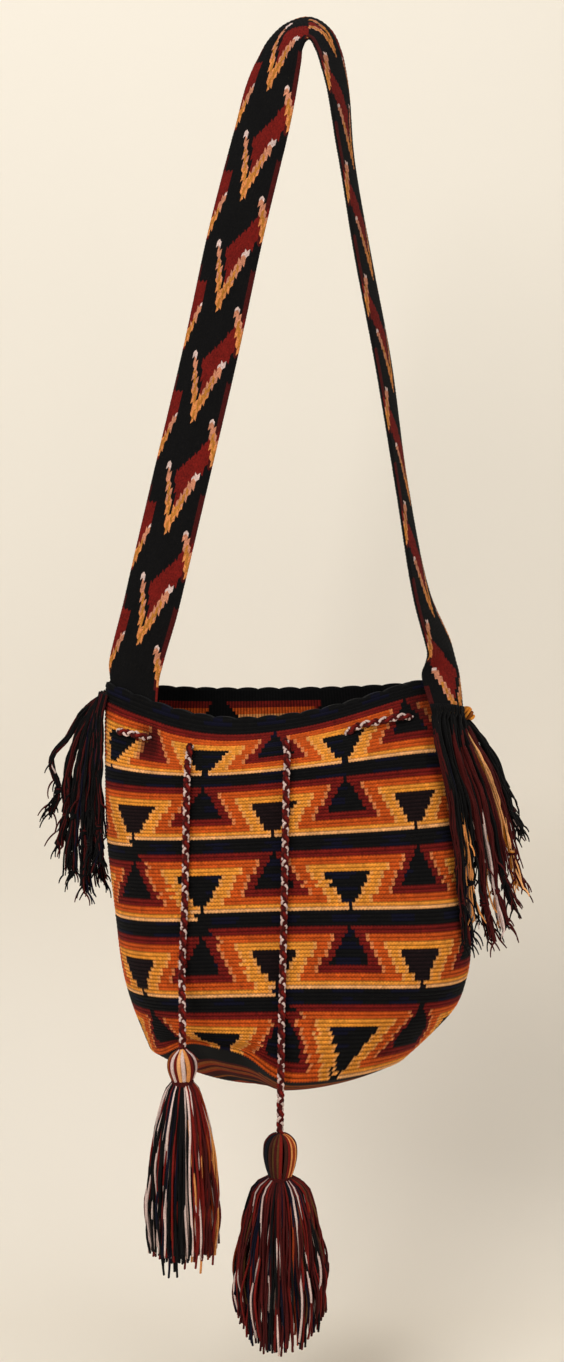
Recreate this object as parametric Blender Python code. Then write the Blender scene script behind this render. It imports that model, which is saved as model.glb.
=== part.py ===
"""Crochet crossbody bag, hanging by its strap, in metres with +Z up and the front facing -Y.

The origin is the middle of the strap's underside at the crown, where a hook or a hand carries it.
Rows of crochet are counted down from the rim's top edge. A place on the wall is (u, row), where u is the
share of the way round: 0 at the middle of the front, then on towards the right-hand end.
"""

import math

import bmesh
import bpy
import numpy as np
from mathutils import Matrix
from mathutils.bvhtree import BVHTree

GAP = 0.0003  # between two pieces that lie on each other

# The crochet: counts of rows and stitches, and the height of a row
ROW_HEIGHT = 0.00295
RIM_ROWS = 4
BAND_ROWS = 16
STRIPE_ROWS = 4
BANDS = 5
REPEATS = 6
HALF_REPEAT = 21  # stitches from the middle of a hanging triangle to the middle of a standing one
FIRST_TRIANGLE = -21.7  # stitches from the middle of the front to a hanging triangle of the top band
TRIANGLE_HALF = 9.6  # half width, in stitches, to which a hanging triangle's sides run at the band's top
TRIANGLE_SLOPE = 0.6  # stitches that each side comes in by, a row
LAST_TRIANGLE = (11.0, 0.69)  # the same two in the lowest band, whose triangles are larger
PATTERN_LEAN = ((0, 0.0), (14, -0.5), (34, -1.8), (54, -3.4), (74, -5.1), (100, -4.0))  # row, stitches to the right
FIELD = 4  # stitches across each slanting field of gold, orange and maroon
STEM = 0.5  # half width of a triangle's tip, in stitches
BAND_STEPS = (0, 2, 4, 6, 10, 12, 14, 16)  # rows of a band at which some colour changes

# The body
WALL = 0.0030
RIM_HEIGHT = -0.5287
BAG_HALF_WIDTH = 0.1432
BELLY_DEPTH = 0.088
BACK_DEPTH = 0.050
FRONT_CURVE = 2.3  # exponents of the section's two halves: 2 is an ellipse, more is squarer
BACK_CURVE = 3.0
BASE_CURVE = 2.0
HANG_CURVE = 4.0  # how the front's hang gathers towards its middle
BACK_HANG = -0.0080  # how far the middle of the back hangs at the rim, less and less down to BACK_HANG_ROWS
BACK_HANG_ROWS = 20
BASE_SAG = 0.022
# Stations down the wall: row, then half width, front depth and back depth as shares of the sizes above, the
# middle's x, how far the ends sit above or below RIM_HEIGHT (rows apart), the whole ring's rise to the right
# for each metre across, how far the middle of the front hangs, and the front's own rise to the right
STATIONS = (
    (0, 0.967, 0.27, 0.92, -0.0248, 0.0046, 0.009, -0.0256, 0.105),
    (4, 0.972, 0.33, 0.93, -0.0243, 0.0042, 0.017, -0.0245, 0.125),
    (12, 0.980, 0.47, 0.95, -0.0236, 0.0036, 0.030, -0.0145, 0.110),
    (20, 0.983, 0.57, 0.97, -0.0228, 0.0034, 0.038, -0.0055, 0.065),
    (40, 0.993, 0.69, 1.00, -0.0200, 0.0064, 0.038, 0.0010, 0.010),
    (60, 0.986, 0.80, 1.00, -0.0145, 0.0058, 0.018, 0.0055, 0.005),
    (80, 0.950, 0.905, 1.00, -0.0112, 0.0058, 0.010, 0.0075, 0.0),
    (88, 0.895, 0.94, 1.00, -0.0125, 0.0070, 0.005, 0.0065, 0.0),
    (94, 0.815, 0.97, 0.97, -0.0180, 0.0080, -0.010, 0.0020, 0.0),
    (100, 0.715, 0.99, 0.88, -0.0256, 0.0075, -0.030, -0.0040, 0.0),
)
# The base's rings below the wall's last row: radius and drop, as shares of the wall's foot and of the sag
BASE_RINGS = ((0.93, 0.45), (0.62, 0.88))
BASE_FIELDS = ("black", "orange", "maroon")
INNER_ROWS = (0, 4, 24, 60, 86, 100)  # rows at which the inner face has a ring
# Two soft creases: where round the bag, at which row, over what share and how many rows, inset and lift
GATHER = (-0.168, 10.0, 0.022, 4.5, 0.007, 0.0)
FOOT_CREASE = (-0.105, 100.0, 0.060, 5.0, 0.007, 0.010)

# The drawcord and its eyelets
CORD_DIAMETER = 0.0060
CORD_CLEARANCE = 0.0011  # round the cord where it passes through or along the wall
EYELET_ROW = 10
# Stitches from the middle of the front to each eyelet, from the right-hand end's round the back to the left's
EYELETS = (6, 21, 41, 70, 88, 107, 126, 145, 165, 200, 210, 220)
CROSSING = 0.0150  # length of rim in which the cord goes from one face of the wall to the other
CROSSING_STEPS = (-1.0, -0.35, 0.35, 1.0)
CORD_STEP = 0.0170
# Each free end as (x, row, gap between the cord's side and the wall's face) down to where it leaves the
# wall, then plain points (x, y, z) to its end
LEFT_LAID = (
    (-0.0946, 14, 0.0008),
    (-0.0950, 24, 0.0008),
    (-0.0953, 40, 0.0008),
    (-0.0956, 58, 0.0010),
    (-0.0960, 74, 0.0035),
)
LEFT_FREE = ((-0.0962, -0.1000, -0.7760), (-0.0962, -0.1010, -0.7930))
RIGHT_LAID = (
    (-0.0184, 14, 0.0008),
    (-0.0190, 24, 0.0014),
    (-0.0198, 40, 0.0012),
    (-0.0207, 58, 0.0010),
    (-0.0218, 76, 0.0010),
    (-0.0226, 88, 0.0010),
)
RIGHT_FREE = ((-0.0232, -0.0940, -0.8080), (-0.0236, -0.0948, -0.8340), (-0.0238, -0.0950, -0.8560))

# The tassels: head radius and height, neck radius, skirt length, and half width and half depth at its widest
LEFT_TASSEL = dict(head=0.0112, head_length=0.0230, neck=0.0075, skirt=0.1270, wide=0.0285, deep=0.0250)
RIGHT_TASSEL = dict(head=0.0126, head_length=0.0330, neck=0.0085, skirt=0.1210, wide=0.0370, deep=0.0300)
TASSEL_LOBES = 9
TASSEL_GROOVE = 0.10
HEAD_ANGLES = (20, 50, 85)  # rings of the head's round top, in degrees down from its crown
# The skirt's rings: shares of its length down and of its greatest width
SKIRT_STATIONS = ((0.15, 0.53), (0.32, 0.74), (0.62, 0.92), (0.85, 1.0), (1.0, 0.95))
SKIRT_HOLLOW = 0.0120
BINDING_RADIUS = 0.0014
BINDING_HEIGHT = 0.0053
BINDING_SIDES = 12

# The strap
STRAP_WIDTH = 0.0500
STRAP_THICKNESS = 0.0035
STRAP_CURL = 0.0040  # how far its long edges curl back
TUCK_ROWS = 3.5  # rows of the rim that the left end reaches down inside
LAP_ROWS = 9.5  # rows that the right end reaches down outside
LEFT_END = -0.198  # middles of the strap's two ends round the bag
RIGHT_END = 0.226
LAP_CLEARANCE = 0.0006  # between a bundle or the tucked strap and the wall's flat facets
CORNER_CLEARANCE = 0.0028  # under the outer lap, which turns the corner of the rim
STRAP_REPEAT = 0.0910
STRAP_ARM = 0.0056  # across a V's arm
STRAP_ARM_SLOPE = 0.28  # how fast the arms of the middle V's spread, and those cut by the strap's edges
EDGE_ARM_SLOPE = 0.17
LEFT_POINT = 0.1620  # from the crown to the nearest V's point, down either run
RIGHT_POINT = 0.1310
CROWN_REACH = 0.0280  # closer sections this far on either side of the crown
CROWN_STEP = 0.0080
END_STEP = 0.0125  # and near both ends, where the strap takes the wall's shape over this length
END_BLEND = 0.0360
# The free run between the two ends: x, y, z and the turn of its face towards the front, in degrees
STRAP_ROUTE = (
    (-0.1264, -0.0150, -0.4592, 58.0),
    (-0.1060, -0.0120, -0.3712, 64.0),
    (-0.0800, -0.0090, -0.2592, 66.0),
    (-0.0596, -0.0060, -0.1632, 66.0),
    (-0.0400, -0.0030, -0.0832, 63.0),
    (-0.0272, -0.0010, -0.0300, 58.0),
    (-0.0215, 0.0000, -0.0135, 52.0),
    (-0.0125, 0.0000, -0.0025, 47.0),
    (0.0000, 0.0000, 0.00175, 44.0),
    (0.0100, 0.0000, -0.0040, 40.0),
    (0.0170, -0.0005, -0.0170, 34.0),
    (0.0225, -0.0010, -0.0370, 27.0),
    (0.0312, -0.0020, -0.1008, 16.0),
    (0.0456, -0.0050, -0.1872, 17.0),
    (0.0600, -0.0080, -0.2640, 17.0),
    (0.0760, -0.0110, -0.3728, 12.0),
    (0.0915, -0.0140, -0.4560, 18.0),
)

# The fringes: each bundle's root as a share of the strap's width from its middle, then the points it falls
# through to its tip
BUNDLE_RADIUS = 0.0027
BUNDLE_WIDTHS = (1.0, 1.05, 1.25, 1.20, 1.50, 1.20)  # at each point, in radii: the fifth is the knot
LEFT_FRINGE_U = -0.258
LEFT_FRINGE_ROW = 2.5
LEFT_FRINGE = (
    (-0.36, (-0.1670, -0.009, -0.550), (-0.1675, -0.009, -0.575), (-0.1690, -0.009, -0.605),
     (-0.1680, -0.009, -0.639), (-0.1670, -0.009, -0.671)),
    (-0.24, (-0.1705, -0.003, -0.552), (-0.1720, -0.003, -0.579), (-0.1735, -0.003, -0.611),
     (-0.1750, -0.003, -0.653), (-0.1775, -0.003, -0.682)),
    (-0.12, (-0.1730, 0.003, -0.555), (-0.1775, 0.003, -0.585), (-0.1810, 0.003, -0.617),
     (-0.1815, 0.003, -0.645), (-0.1815, 0.004, -0.698)),
    (0.00, (-0.1760, 0.009, -0.553), (-0.1830, 0.009, -0.577), (-0.1870, 0.009, -0.604),
     (-0.1900, 0.009, -0.633), (-0.1935, 0.010, -0.686)),
    (0.12, (-0.1780, 0.015, -0.551), (-0.1885, 0.015, -0.572), (-0.1950, 0.015, -0.593),
     (-0.1970, 0.015, -0.631), (-0.2045, 0.016, -0.662)),
    (0.24, (-0.1820, 0.0225, -0.548), (-0.1950, 0.021, -0.569), (-0.2100, 0.021, -0.589),
     (-0.2040, 0.021, -0.614), (-0.2130, 0.021, -0.635)),
    (0.36, (-0.1770, 0.028, -0.559), (-0.1810, 0.027, -0.590), (-0.1785, 0.027, -0.622),
     (-0.1735, 0.027, -0.660), (-0.1685, 0.027, -0.694)),
)
RIGHT_FRINGE = (
    (-0.42, (0.0996, -0.039, -0.569), (0.1090, -0.039, -0.607), (0.1145, -0.038, -0.650),
     (0.1185, -0.037, -0.696), (0.1240, -0.037, -0.731)),
    (-0.28, (0.1063, -0.034, -0.571), (0.1180, -0.033, -0.614), (0.1230, -0.032, -0.650),
     (0.1255, -0.031, -0.680), (0.1300, -0.031, -0.713)),
    (-0.14, (0.1123, -0.029, -0.572), (0.1250, -0.027, -0.614), (0.1330, -0.026, -0.655),
     (0.1362, -0.025, -0.697), (0.1440, -0.025, -0.731)),
    (0.00, (0.1176, -0.023, -0.570), (0.1320, -0.021, -0.610), (0.1410, -0.020, -0.652),
     (0.1465, -0.019, -0.689), (0.1560, -0.019, -0.723)),
    (0.14, (0.1230, -0.017, -0.569), (0.1380, -0.015, -0.608), (0.1480, -0.014, -0.648),
     (0.1535, -0.013, -0.678), (0.1630, -0.013, -0.708)),
    (0.28, (0.1269, -0.010, -0.567), (0.1430, -0.009, -0.597), (0.1535, -0.008, -0.630),
     (0.1605, -0.007, -0.660), (0.1700, -0.007, -0.692)),
    (0.42, (0.1294, -0.002, -0.562), (0.1430, -0.001, -0.582), (0.1535, -0.001, -0.606),
     (0.1615, -0.001, -0.628), (0.1720, -0.001, -0.650)),
)

COLOURS = {
    "black": (0.008, 0.006, 0.006),
    "maroon": (0.130, 0.010, 0.008),
    "orange": (0.520, 0.105, 0.012),
    "gold": (0.780, 0.330, 0.055),
    "salmon": (0.700, 0.280, 0.110),
    "mixed_yarn": (0.150, 0.045, 0.035),
}


def smooth_through(xs, ys, x):
    """Cubic through hand-chosen points, with each slope taken from the points on either side."""
    xs, ys = np.asarray(xs, float), np.asarray(ys, float)
    slopes = np.gradient(ys, xs, axis=0)
    i = int(np.clip(np.searchsorted(xs, x) - 1, 0, len(xs) - 2))
    span = xs[i + 1] - xs[i]
    t = (x - xs[i]) / span
    if t < 0 or t > 1:  # past the ends, straight on
        end = 0 if t < 0 else -1
        return ys[end] + slopes[end] * (x - xs[end])
    return (
        (2 * t**3 - 3 * t**2 + 1) * ys[i]
        + (t**3 - 2 * t**2 + t) * span * slopes[i]
        + (3 * t**2 - 2 * t**3) * ys[i + 1]
        + (t**3 - t**2) * span * slopes[i + 1]
    )


def route_points(points, step):
    """Points about `step` apart on a smooth curve through hand-chosen ones."""
    points = np.asarray(points, float)
    along = np.concatenate([[0], np.cumsum(np.linalg.norm(np.diff(points[:, :3], axis=0), axis=1))])
    count = max(2, round(along[-1] / step) + 1)
    return np.array([smooth_through(along, points, x) for x in np.linspace(0, along[-1], count)])


class Wall:
    """The wall's outer face as rings, each read by the share of its own length."""

    def __init__(self):
        self.rings = {}
        self.facets = None  # the finished mesh, which the other pieces are seated on

    def ring(self, row, inset=0.0):
        key = (round(row, 4), inset)
        if key not in self.rings:
            self.rings[key] = self.measure(row, inset)
        return self.rings[key]

    def measure(self, row, inset):
        rows = [station[0] for station in STATIONS]
        station = smooth_through(rows, [s[1:] for s in STATIONS], row)
        half, front, back, middle, height, tilt, lift, skew = station
        half = half * BAG_HALF_WIDTH - inset
        front = front * BELLY_DEPTH - inset
        back = back * BACK_DEPTH - inset
        round_off = np.clip((row - rows[-4]) / (rows[-1] - rows[-4]), 0, 1)
        angle = np.linspace(-math.pi, math.pi, 721)
        across, along = np.sin(angle), np.cos(angle)
        power = np.where(along > 0, FRONT_CURVE, BACK_CURVE) * (1 - round_off) + BASE_CURVE * round_off
        depth = np.where(along > 0, front, back)
        x = half * np.sign(across) * np.abs(across) ** (2 / power)
        y = -depth * np.sign(along) * np.abs(along) ** (2 / power)
        hang = np.clip(-y / front, 0, 1) ** HANG_CURVE
        back_hang = BACK_HANG * max(0, 1 - row / BACK_HANG_ROWS) * np.clip(y / back, 0, 1) ** BACK_CURVE
        z = RIM_HEIGHT - row * ROW_HEIGHT + height + tilt * x + lift * hang + skew * x * hang**0.5 + back_hang
        points = np.stack([x + middle, y, z], axis=1)
        share = self.shares(points)
        for u, crease_row, spread, rows_wide, deep, raised in (GATHER, FOOT_CREASE):
            near = np.exp(-(((share - 0.5 - u) / spread) ** 2) - ((row - crease_row) / rows_wide) ** 2)
            inwards = np.array([middle, 0, 0]) - points * (1, 1, 0)
            inwards /= np.linalg.norm(inwards, axis=1)[:, None]
            points += near[:, None] * (deep * inwards + np.array([0, 0, raised]))
        return self.shares(points), points

    @staticmethod
    def shares(points):
        along = np.concatenate([[0], np.cumsum(np.linalg.norm(np.diff(points, axis=0), axis=1))])
        return along / along[-1]

    def point(self, u, row, inset=0.0):
        share, points = self.ring(row, inset)
        at = (u + 0.5) % 1.0
        return np.array([np.interp(at, share, points[:, k]) for k in range(3)])

    def share_at(self, x, row):
        """The place on the front at which a row has this x."""
        share, points = self.ring(row)
        front = (share > 0.3) & (share < 0.7)
        return np.interp(x, points[front, 0], share[front]) - 0.5

    def normal(self, u, row):
        round_way = self.point(u + 0.004, row) - self.point(u - 0.004, row)
        down = self.point(u, row + 1.0) - self.point(u, row - 1.0)
        out = np.cross(down, round_way)
        return out / np.linalg.norm(out)

    def seat(self, u, row, out, inside=False):
        """A point that stands `out` from the flat facets of the outer face, or of the inner one."""
        cast_row = max(row, 0.5)  # above the rim, the wall's line carried on
        place, normal = self.point(u, cast_row), self.normal(u, cast_row)
        reach = 3 * WALL
        if inside:
            start, way = place - normal * (WALL + reach), normal
        else:
            start, way = place + normal * reach, -normal
        found = self.facets.ray_cast(start, way, 2 * reach)[0]
        face = np.array(found) if found else start + way * reach
        return face - way * out + self.point(u, row) - place


WALL_FACE = Wall()
STITCHES = 2 * HALF_REPEAT * REPEATS


def material(name, rough=0.85):
    made = bpy.data.materials.get(name) or bpy.data.materials.new(name)
    made.use_nodes = True
    shader = made.node_tree.nodes["Principled BSDF"]
    shader.inputs["Base Color"].default_value = (*COLOURS[name], 1)
    shader.inputs["Roughness"].default_value = rough
    shader.inputs["Metallic"].default_value = 0.0
    return made


def add_object(name, mesh, colours):
    obj = bpy.data.objects.new(name, mesh)
    for colour in colours:
        mesh.materials.append(material(colour))
    bpy.data.collections["crochet_bag"].objects.link(obj)
    return obj


def skin(rings, start=None, end=None):
    """Faces between rings of equal count, given as lists of vertices, closed by a point or a flat cap."""
    mesh = bmesh.new()
    rows = [[mesh.verts.new(p) for p in ring] for ring in rings]
    faces = []
    for upper, lower in zip(rows, rows[1:]):
        count = len(upper)
        faces.append(
            [
                mesh.faces.new((upper[j], lower[j], lower[(j + 1) % count], upper[(j + 1) % count]))
                for j in range(count)
            ]
        )
    for row, tip, flip in ((rows[0], start, False), (rows[-1], end, True)):
        if tip is None:
            continue
        if isinstance(tip, str):
            mesh.faces.new(row if not flip else row[::-1])
            continue
        apex = mesh.verts.new(tip)
        cap = []
        for j in range(len(row)):
            pair = (row[j], row[(j + 1) % len(row)])
            cap.append(mesh.faces.new((apex, *(pair if not flip else pair[::-1]))))
        faces.append(cap) if flip else faces.insert(0, cap)
    return mesh, faces


def finish(name, mesh, colours, smooth=40):
    bmesh.ops.recalc_face_normals(mesh, faces=mesh.faces)
    if mesh.calc_volume(signed=True) < 0:
        bmesh.ops.reverse_faces(mesh, faces=mesh.faces)
    data = bpy.data.meshes.new(name)
    mesh.to_mesh(data)
    mesh.free()
    data.shade_smooth()
    data.set_sharp_from_angle(angle=math.radians(smooth))
    return add_object(name, data, colours)


def half_lines(band, row):
    """Stitches from one triangle's middle to the next at which a band's fields meet, at one of its rows."""
    half, slope = LAST_TRIANGLE if band == BANDS - 1 else (TRIANGLE_HALF, TRIANGLE_SLOPE)
    side = max(STEM, half - slope * row)
    lines = [0, side, side + FIELD, side + 2 * FIELD, side + 3 * FIELD, HALF_REPEAT]
    lines[4] = min(lines[4], HALF_REPEAT - STEM)
    return lines if band % 2 == 0 else [HALF_REPEAT - line for line in reversed(lines)]


def ring_shares(band, row):
    """Where the fields of a band meet at one row, as shares of the way round."""
    lines = half_lines(band, row)
    repeat = lines[:-1] + [2 * HALF_REPEAT - line for line in reversed(lines[1:])]
    wall_row = RIM_ROWS + band * (BAND_ROWS + STRIPE_ROWS) + row
    first = FIRST_TRIANGLE + np.interp(wall_row, *zip(*PATTERN_LEAN))
    return [(first + 2 * HALF_REPEAT * k + line) / STITCHES for k in range(REPEATS) for line in repeat]


def field_colour(band, row, column):
    """The colour of a field: `row` is the band's row at its top, `column` counts from a repeat's start."""
    column = column if column < 5 else 9 - column
    column = column if band % 2 == 0 else 4 - column
    outer = "maroon" if row < 2 else "orange" if row < 4 else "gold"
    inner = "gold" if row >= 14 else "orange" if row >= 12 else "maroon"
    if column == 0:
        return outer if row < 6 else "black"
    if column == 1:
        return outer
    if column == 2:
        return "maroon" if row < 2 else "gold" if row >= 14 else "orange"
    if column == 3:
        return inner
    return "black" if row < 10 else inner


def wall_levels():
    """Each ring of the outer face, top to bottom: its row, its band and its row in that band."""
    levels = [(0, 0, 0)]
    for band in range(BANDS):
        top = RIM_ROWS + band * (BAND_ROWS + STRIPE_ROWS)
        levels += [(top + step, band, step) for step in BAND_STEPS]
    return levels


def base_ring(edge, radius, drop):
    """A ring of the base inside the wall's foot, sagging below it."""
    edge = np.asarray(edge)
    middle = edge.mean(axis=0)
    ring = middle + (edge - middle) * (radius, radius, radius**2)
    ring[:, 2] -= drop * BASE_SAG
    return ring


def bag_body():
    levels = wall_levels()
    shares = [ring_shares(band, row) for _, band, row in levels]
    outer = [[WALL_FACE.point(u, row) for u in s] for (row, _, _), s in zip(levels, shares)]
    foot = outer[-1]
    middle = np.mean(foot, axis=0)
    outer += [base_ring(foot, radius, drop) for radius, drop in BASE_RINGS]
    inner = []
    for row in INNER_ROWS:
        nearest = min(range(len(levels)), key=lambda i: abs(levels[i][0] - row))
        inner.append([WALL_FACE.point(u, row, WALL) for u in shares[nearest]])
    lift = np.array([0, 0, WALL])
    inner += [base_ring(inner[-1], radius, drop) + lift for radius, drop in BASE_RINGS[:1]]
    sag = np.array([0, 0, -BASE_SAG])
    mesh, faces = skin(inner[::-1] + outer, start=middle + sag + lift, end=middle + sag)
    colours = ["black", "maroon", "orange", "gold"]
    strips = faces[len(inner) + 1 :]
    for i, strip in enumerate(strips):
        for j, face in enumerate(strip):
            face.material_index = colours.index(outer_colour(i, j, levels))
    for i, strip in enumerate(faces[: len(inner) + 1]):
        for face in strip:
            face.material_index = colours.index("black" if i > len(inner) - 2 else "maroon")
    WALL_FACE.facets = BVHTree.FromBMesh(mesh)
    return finish("bag_body", mesh, colours)


def outer_colour(strip, column, levels):
    """The colour of one face of the outer side, by its strip from the rim down and its column."""
    if strip >= len(levels) - 1:
        return BASE_FIELDS[strip - len(levels) + 1]
    _, band, row = levels[strip]
    if strip == 0 or row == BAND_ROWS:
        return "black"
    return field_colour(band, row, column % 10)


def cut_eyelets(body, path, crossings):
    """Opens the wall along the cord with a wider copy of it, where it crosses from face to face."""
    for k, (first, last) in enumerate(crossings):
        tube = tube_mesh(path[first : last + 1], CORD_DIAMETER / 2 + CORD_CLEARANCE * 0.5)
        cutter = finish(f"eyelet_cutter_{k + 1}", tube, ["black"])
        bpy.data.collections["crochet_bag"].objects.unlink(cutter)
        bpy.data.collections["cutters"].objects.link(cutter)
        cutter.hide_render = True
        cutter.display_type = "WIRE"
        cut = body.modifiers.new(f"eyelet_{k + 1}", "BOOLEAN")
        cut.operation = "DIFFERENCE"
        cut.solver = "EXACT"
        cut.object = cutter


def tube_mesh(path, radius, sides=6):
    """A straight-capped tube along points, for cutting."""
    path = np.asarray(path)
    tangents = np.gradient(path, axis=0)
    rings = []
    side = np.cross(tangents[0], (0, 0, 1.0))
    for point, tangent in zip(path, tangents):
        tangent = tangent / np.linalg.norm(tangent)
        side = side - tangent * side.dot(tangent)
        side /= np.linalg.norm(side)
        up = np.cross(side, tangent)
        turn = [2 * math.pi * (k + 0.5) / sides for k in range(sides)]
        reach = radius / math.cos(math.pi / sides)
        rings.append([point + reach * (math.cos(a) * side + math.sin(a) * up) for a in turn])
    return skin(rings, start="cap", end="cap")[0]


def cord_curve(name, points, radii=None, colour="mixed_yarn", diameter=CORD_DIAMETER, resolution=2):
    curve = bpy.data.curves.new(name, "CURVE")
    curve.dimensions = "3D"
    curve.bevel_depth = diameter / 2
    curve.bevel_resolution = resolution
    curve.use_fill_caps = True
    spline = curve.splines.new("POLY")
    spline.points.add(len(points) - 1)
    for i, point in enumerate(points):
        spline.points[i].co = (*point, 1)
        spline.points[i].radius = 1.0 if radii is None else radii[i]
    curve.materials.append(material(colour))
    obj = bpy.data.objects.new(name, curve)
    bpy.data.collections["crochet_bag"].objects.link(obj)
    return obj


def rim_cord_path():
    """The cord's middle from one exit to the other, and where along it each crossing starts and ends."""
    length = np.sum(np.linalg.norm(np.diff(WALL_FACE.ring(EYELET_ROW)[1], axis=0), axis=1))
    half = CROSSING / 2 / length
    eyelets = [stitch / STITCHES for stitch in EYELETS]
    stand = CORD_DIAMETER / 2 + CORD_CLEARANCE
    path, crossings = [], []
    for k, u in enumerate(eyelets):
        inwards = k % 2 == 0
        first = len(path)
        for t in CROSSING_STEPS:
            through = 0.5 + 0.75 * t - 0.25 * t**3
            through = through if inwards else 1 - through
            outer = WALL_FACE.seat(u + t * half, EYELET_ROW, stand)
            inner = WALL_FACE.seat(u + t * half, EYELET_ROW, stand, inside=True)
            path.append(outer + (inner - outer) * through)
        crossings.append((first, len(path) - 1))
        if k + 1 < len(eyelets):
            span = eyelets[k + 1] - u - 2 * half
            steps = max(1, round(span * length / CORD_STEP))
            shares = [u + half + span * s / steps for s in range(1, steps)]
            path += [WALL_FACE.seat(at, EYELET_ROW, stand, inside=inwards) for at in shares]
    return path, crossings


def free_cord(side, rim_end, laid, free):
    """A free end: from beside the rim cord's end, down the wall's face and then straight down."""
    inner, tip = rim_end
    radius = CORD_DIAMETER / 2
    top = tip + (tip - inner) / np.linalg.norm(tip - inner) * (radius + 3 * GAP)
    route = [top]
    route += [WALL_FACE.seat(WALL_FACE.share_at(x, row), row, radius + gap) for x, row, gap in laid]
    points = route_points(route + [np.array(place) for place in free], CORD_STEP)
    direction = (points[1] - points[0]) / np.linalg.norm(points[1] - points[0])
    rounding = ((0.94, 0.34), (0.60, 0.80))  # how far above the top, and how wide there, in radii
    ends = [points[0] - direction * radius * share for share, _ in rounding]
    radii = [wide for _, wide in rounding] + [1.0] * len(points)
    return cord_curve(f"drawcord_{side}", [*ends, *points], radii), top, points[-1]


def yarn_form(name, profile, oval, top):
    """A turned form below `top`: each station has a radius, a drop and the share of its full lobes."""
    sides = 2 * TASSEL_LOBES
    rings = []
    for radius, drop, growth in profile:
        ring = []
        for k in range(sides):
            a = 2 * math.pi * k / sides
            reach = radius * (1 + TASSEL_GROOVE * growth * math.cos(TASSEL_LOBES * a))
            deep = reach * (1 + (oval - 1) * growth)
            ring.append((top[0] + reach * math.cos(a), top[1] + deep * math.sin(a), top[2] - drop))
        rings.append(ring)
    hollow = top - (0, 0, profile[-1][1] - SKIRT_HOLLOW)
    return finish(name, skin(rings, start=top, end=hollow)[0], ["mixed_yarn"])


def binding(name, neck, middle):
    """The turns of yarn round a tassel's neck, as one ring."""
    bpy.ops.mesh.primitive_torus_add(
        location=middle,
        major_radius=neck + 2 * GAP + BINDING_RADIUS,
        minor_radius=BINDING_RADIUS,
        major_segments=BINDING_SIDES,
        minor_segments=6,
    )
    ring = bpy.context.object
    ring.name = name
    ring.data.name = name
    ring.data.transform(Matrix.Diagonal((1, 1, BINDING_HEIGHT / (2 * BINDING_RADIUS), 1)))
    ring.data.materials.append(material("maroon"))
    ring.data.shade_smooth()
    bpy.context.collection.objects.unlink(ring)
    bpy.data.collections["crochet_bag"].objects.link(ring)
    return ring


def tassel(side, size, tip):
    """A looped head, a bound neck and a grooved skirt, hung from the end of its cord."""
    head, length, neck, skirt, wide = (size[k] for k in ("head", "head_length", "neck", "skirt", "wide"))
    top = np.array(tip) - (0, 0, GAP)
    profile = [(head * math.sin(a), head * (1 - math.cos(a)), 0) for a in np.radians(HEAD_ANGLES)]
    profile += [(head * 0.96, length * 0.62, 0), (neck, length * 0.93, 0), (neck, length * 1.07, 0)]
    profile += [(wide * w, length + skirt * share, share**0.4) for share, w in SKIRT_STATIONS]
    form = yarn_form(f"tassel_{side}", profile, size["deep"] / wide, top)
    return (form, binding(f"tassel_{side}_binding", neck, top - (0, 0, length))), top - (0, 0, head)


def strap_frame(points):
    """Middle, face normal and width direction at each point of the strap's route."""
    places, turns = points[:, :3], np.radians(points[:, 3])
    tangents = np.gradient(places, axis=0)
    tangents /= np.linalg.norm(tangents, axis=1)[:, None]
    outwards = np.stack([-tangents[:, 2], np.zeros(len(points)), tangents[:, 0]], axis=1)
    normals = np.cos(turns)[:, None] * outwards + np.sin(turns)[:, None] * np.array([0, -1.0, 0])
    normals -= tangents * np.sum(normals * tangents, axis=1)[:, None]
    normals /= np.linalg.norm(normals, axis=1)[:, None]
    return places, normals, np.cross(normals, tangents)


def to_points(distance):
    """How far below a place on the strap the next middle V's point is, and the next edge V's."""
    to_point = ((LEFT_POINT if distance < 0 else RIGHT_POINT) - abs(distance)) % STRAP_REPEAT
    return to_point, (to_point + STRAP_REPEAT / 3) % STRAP_REPEAT


def arm_reach(to_point, slope):
    """Half the spread of a V's arms above its point, drawn in again to the point of the next one up."""
    rise = STRAP_REPEAT * 2 / 3
    return slope * (to_point if to_point < rise else 2 * (STRAP_REPEAT - to_point))


def arm_width(to_point):
    """Across one arm of a V, which thins towards its upper end."""
    return STRAP_ARM * (1.5 - to_point / (STRAP_REPEAT * 2 / 3))


def strap_lines(distance):
    """Where the V pattern's fields meet across half the strap, from its middle to its edge."""
    half, least = STRAP_WIDTH / 2, 0.0006
    to_point, to_edge_point = to_points(distance)
    reach = arm_reach(to_point, STRAP_ARM_SLOPE)
    edge_reach = arm_reach(to_edge_point, EDGE_ARM_SLOPE)
    arm_out = max(2 * least, reach)
    arm_in = max(least, reach - arm_width(to_point))
    edge_out = half - max(2 * least, edge_reach)
    edge_in = half - max(least, edge_reach - arm_width(to_edge_point))
    return [0.0, arm_in, arm_out, edge_out, edge_in, half]


def strap_stations(start, end):
    """Where the strap has a section, by distance from the crown: at each V's point and a third of the way
    between, and closer at the crown and the ends."""
    third = STRAP_REPEAT / 3
    pattern = []
    for way, point, length in ((-1, LEFT_POINT, -start), (1, RIGHT_POINT, end)):
        places = [point % third + third * k for k in range(int(length / third) + 1)]
        pattern += [way * place for place in places if place < length]
    close = list(np.arange(-CROWN_REACH, CROWN_REACH + CROWN_STEP / 2, CROWN_STEP))
    near_end = END_BLEND + LAP_ROWS * ROW_HEIGHT
    close += list(np.linspace(start, start + near_end, round(near_end / END_STEP)))
    close += list(np.linspace(end - near_end, end, round(near_end / END_STEP)))
    clear = 0.6 * CROWN_STEP
    kept = [at for at in pattern if start + clear < at < end - clear]
    kept += [at for at in close if all(abs(at - other) > clear for other in kept)]
    return sorted(kept)


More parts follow.
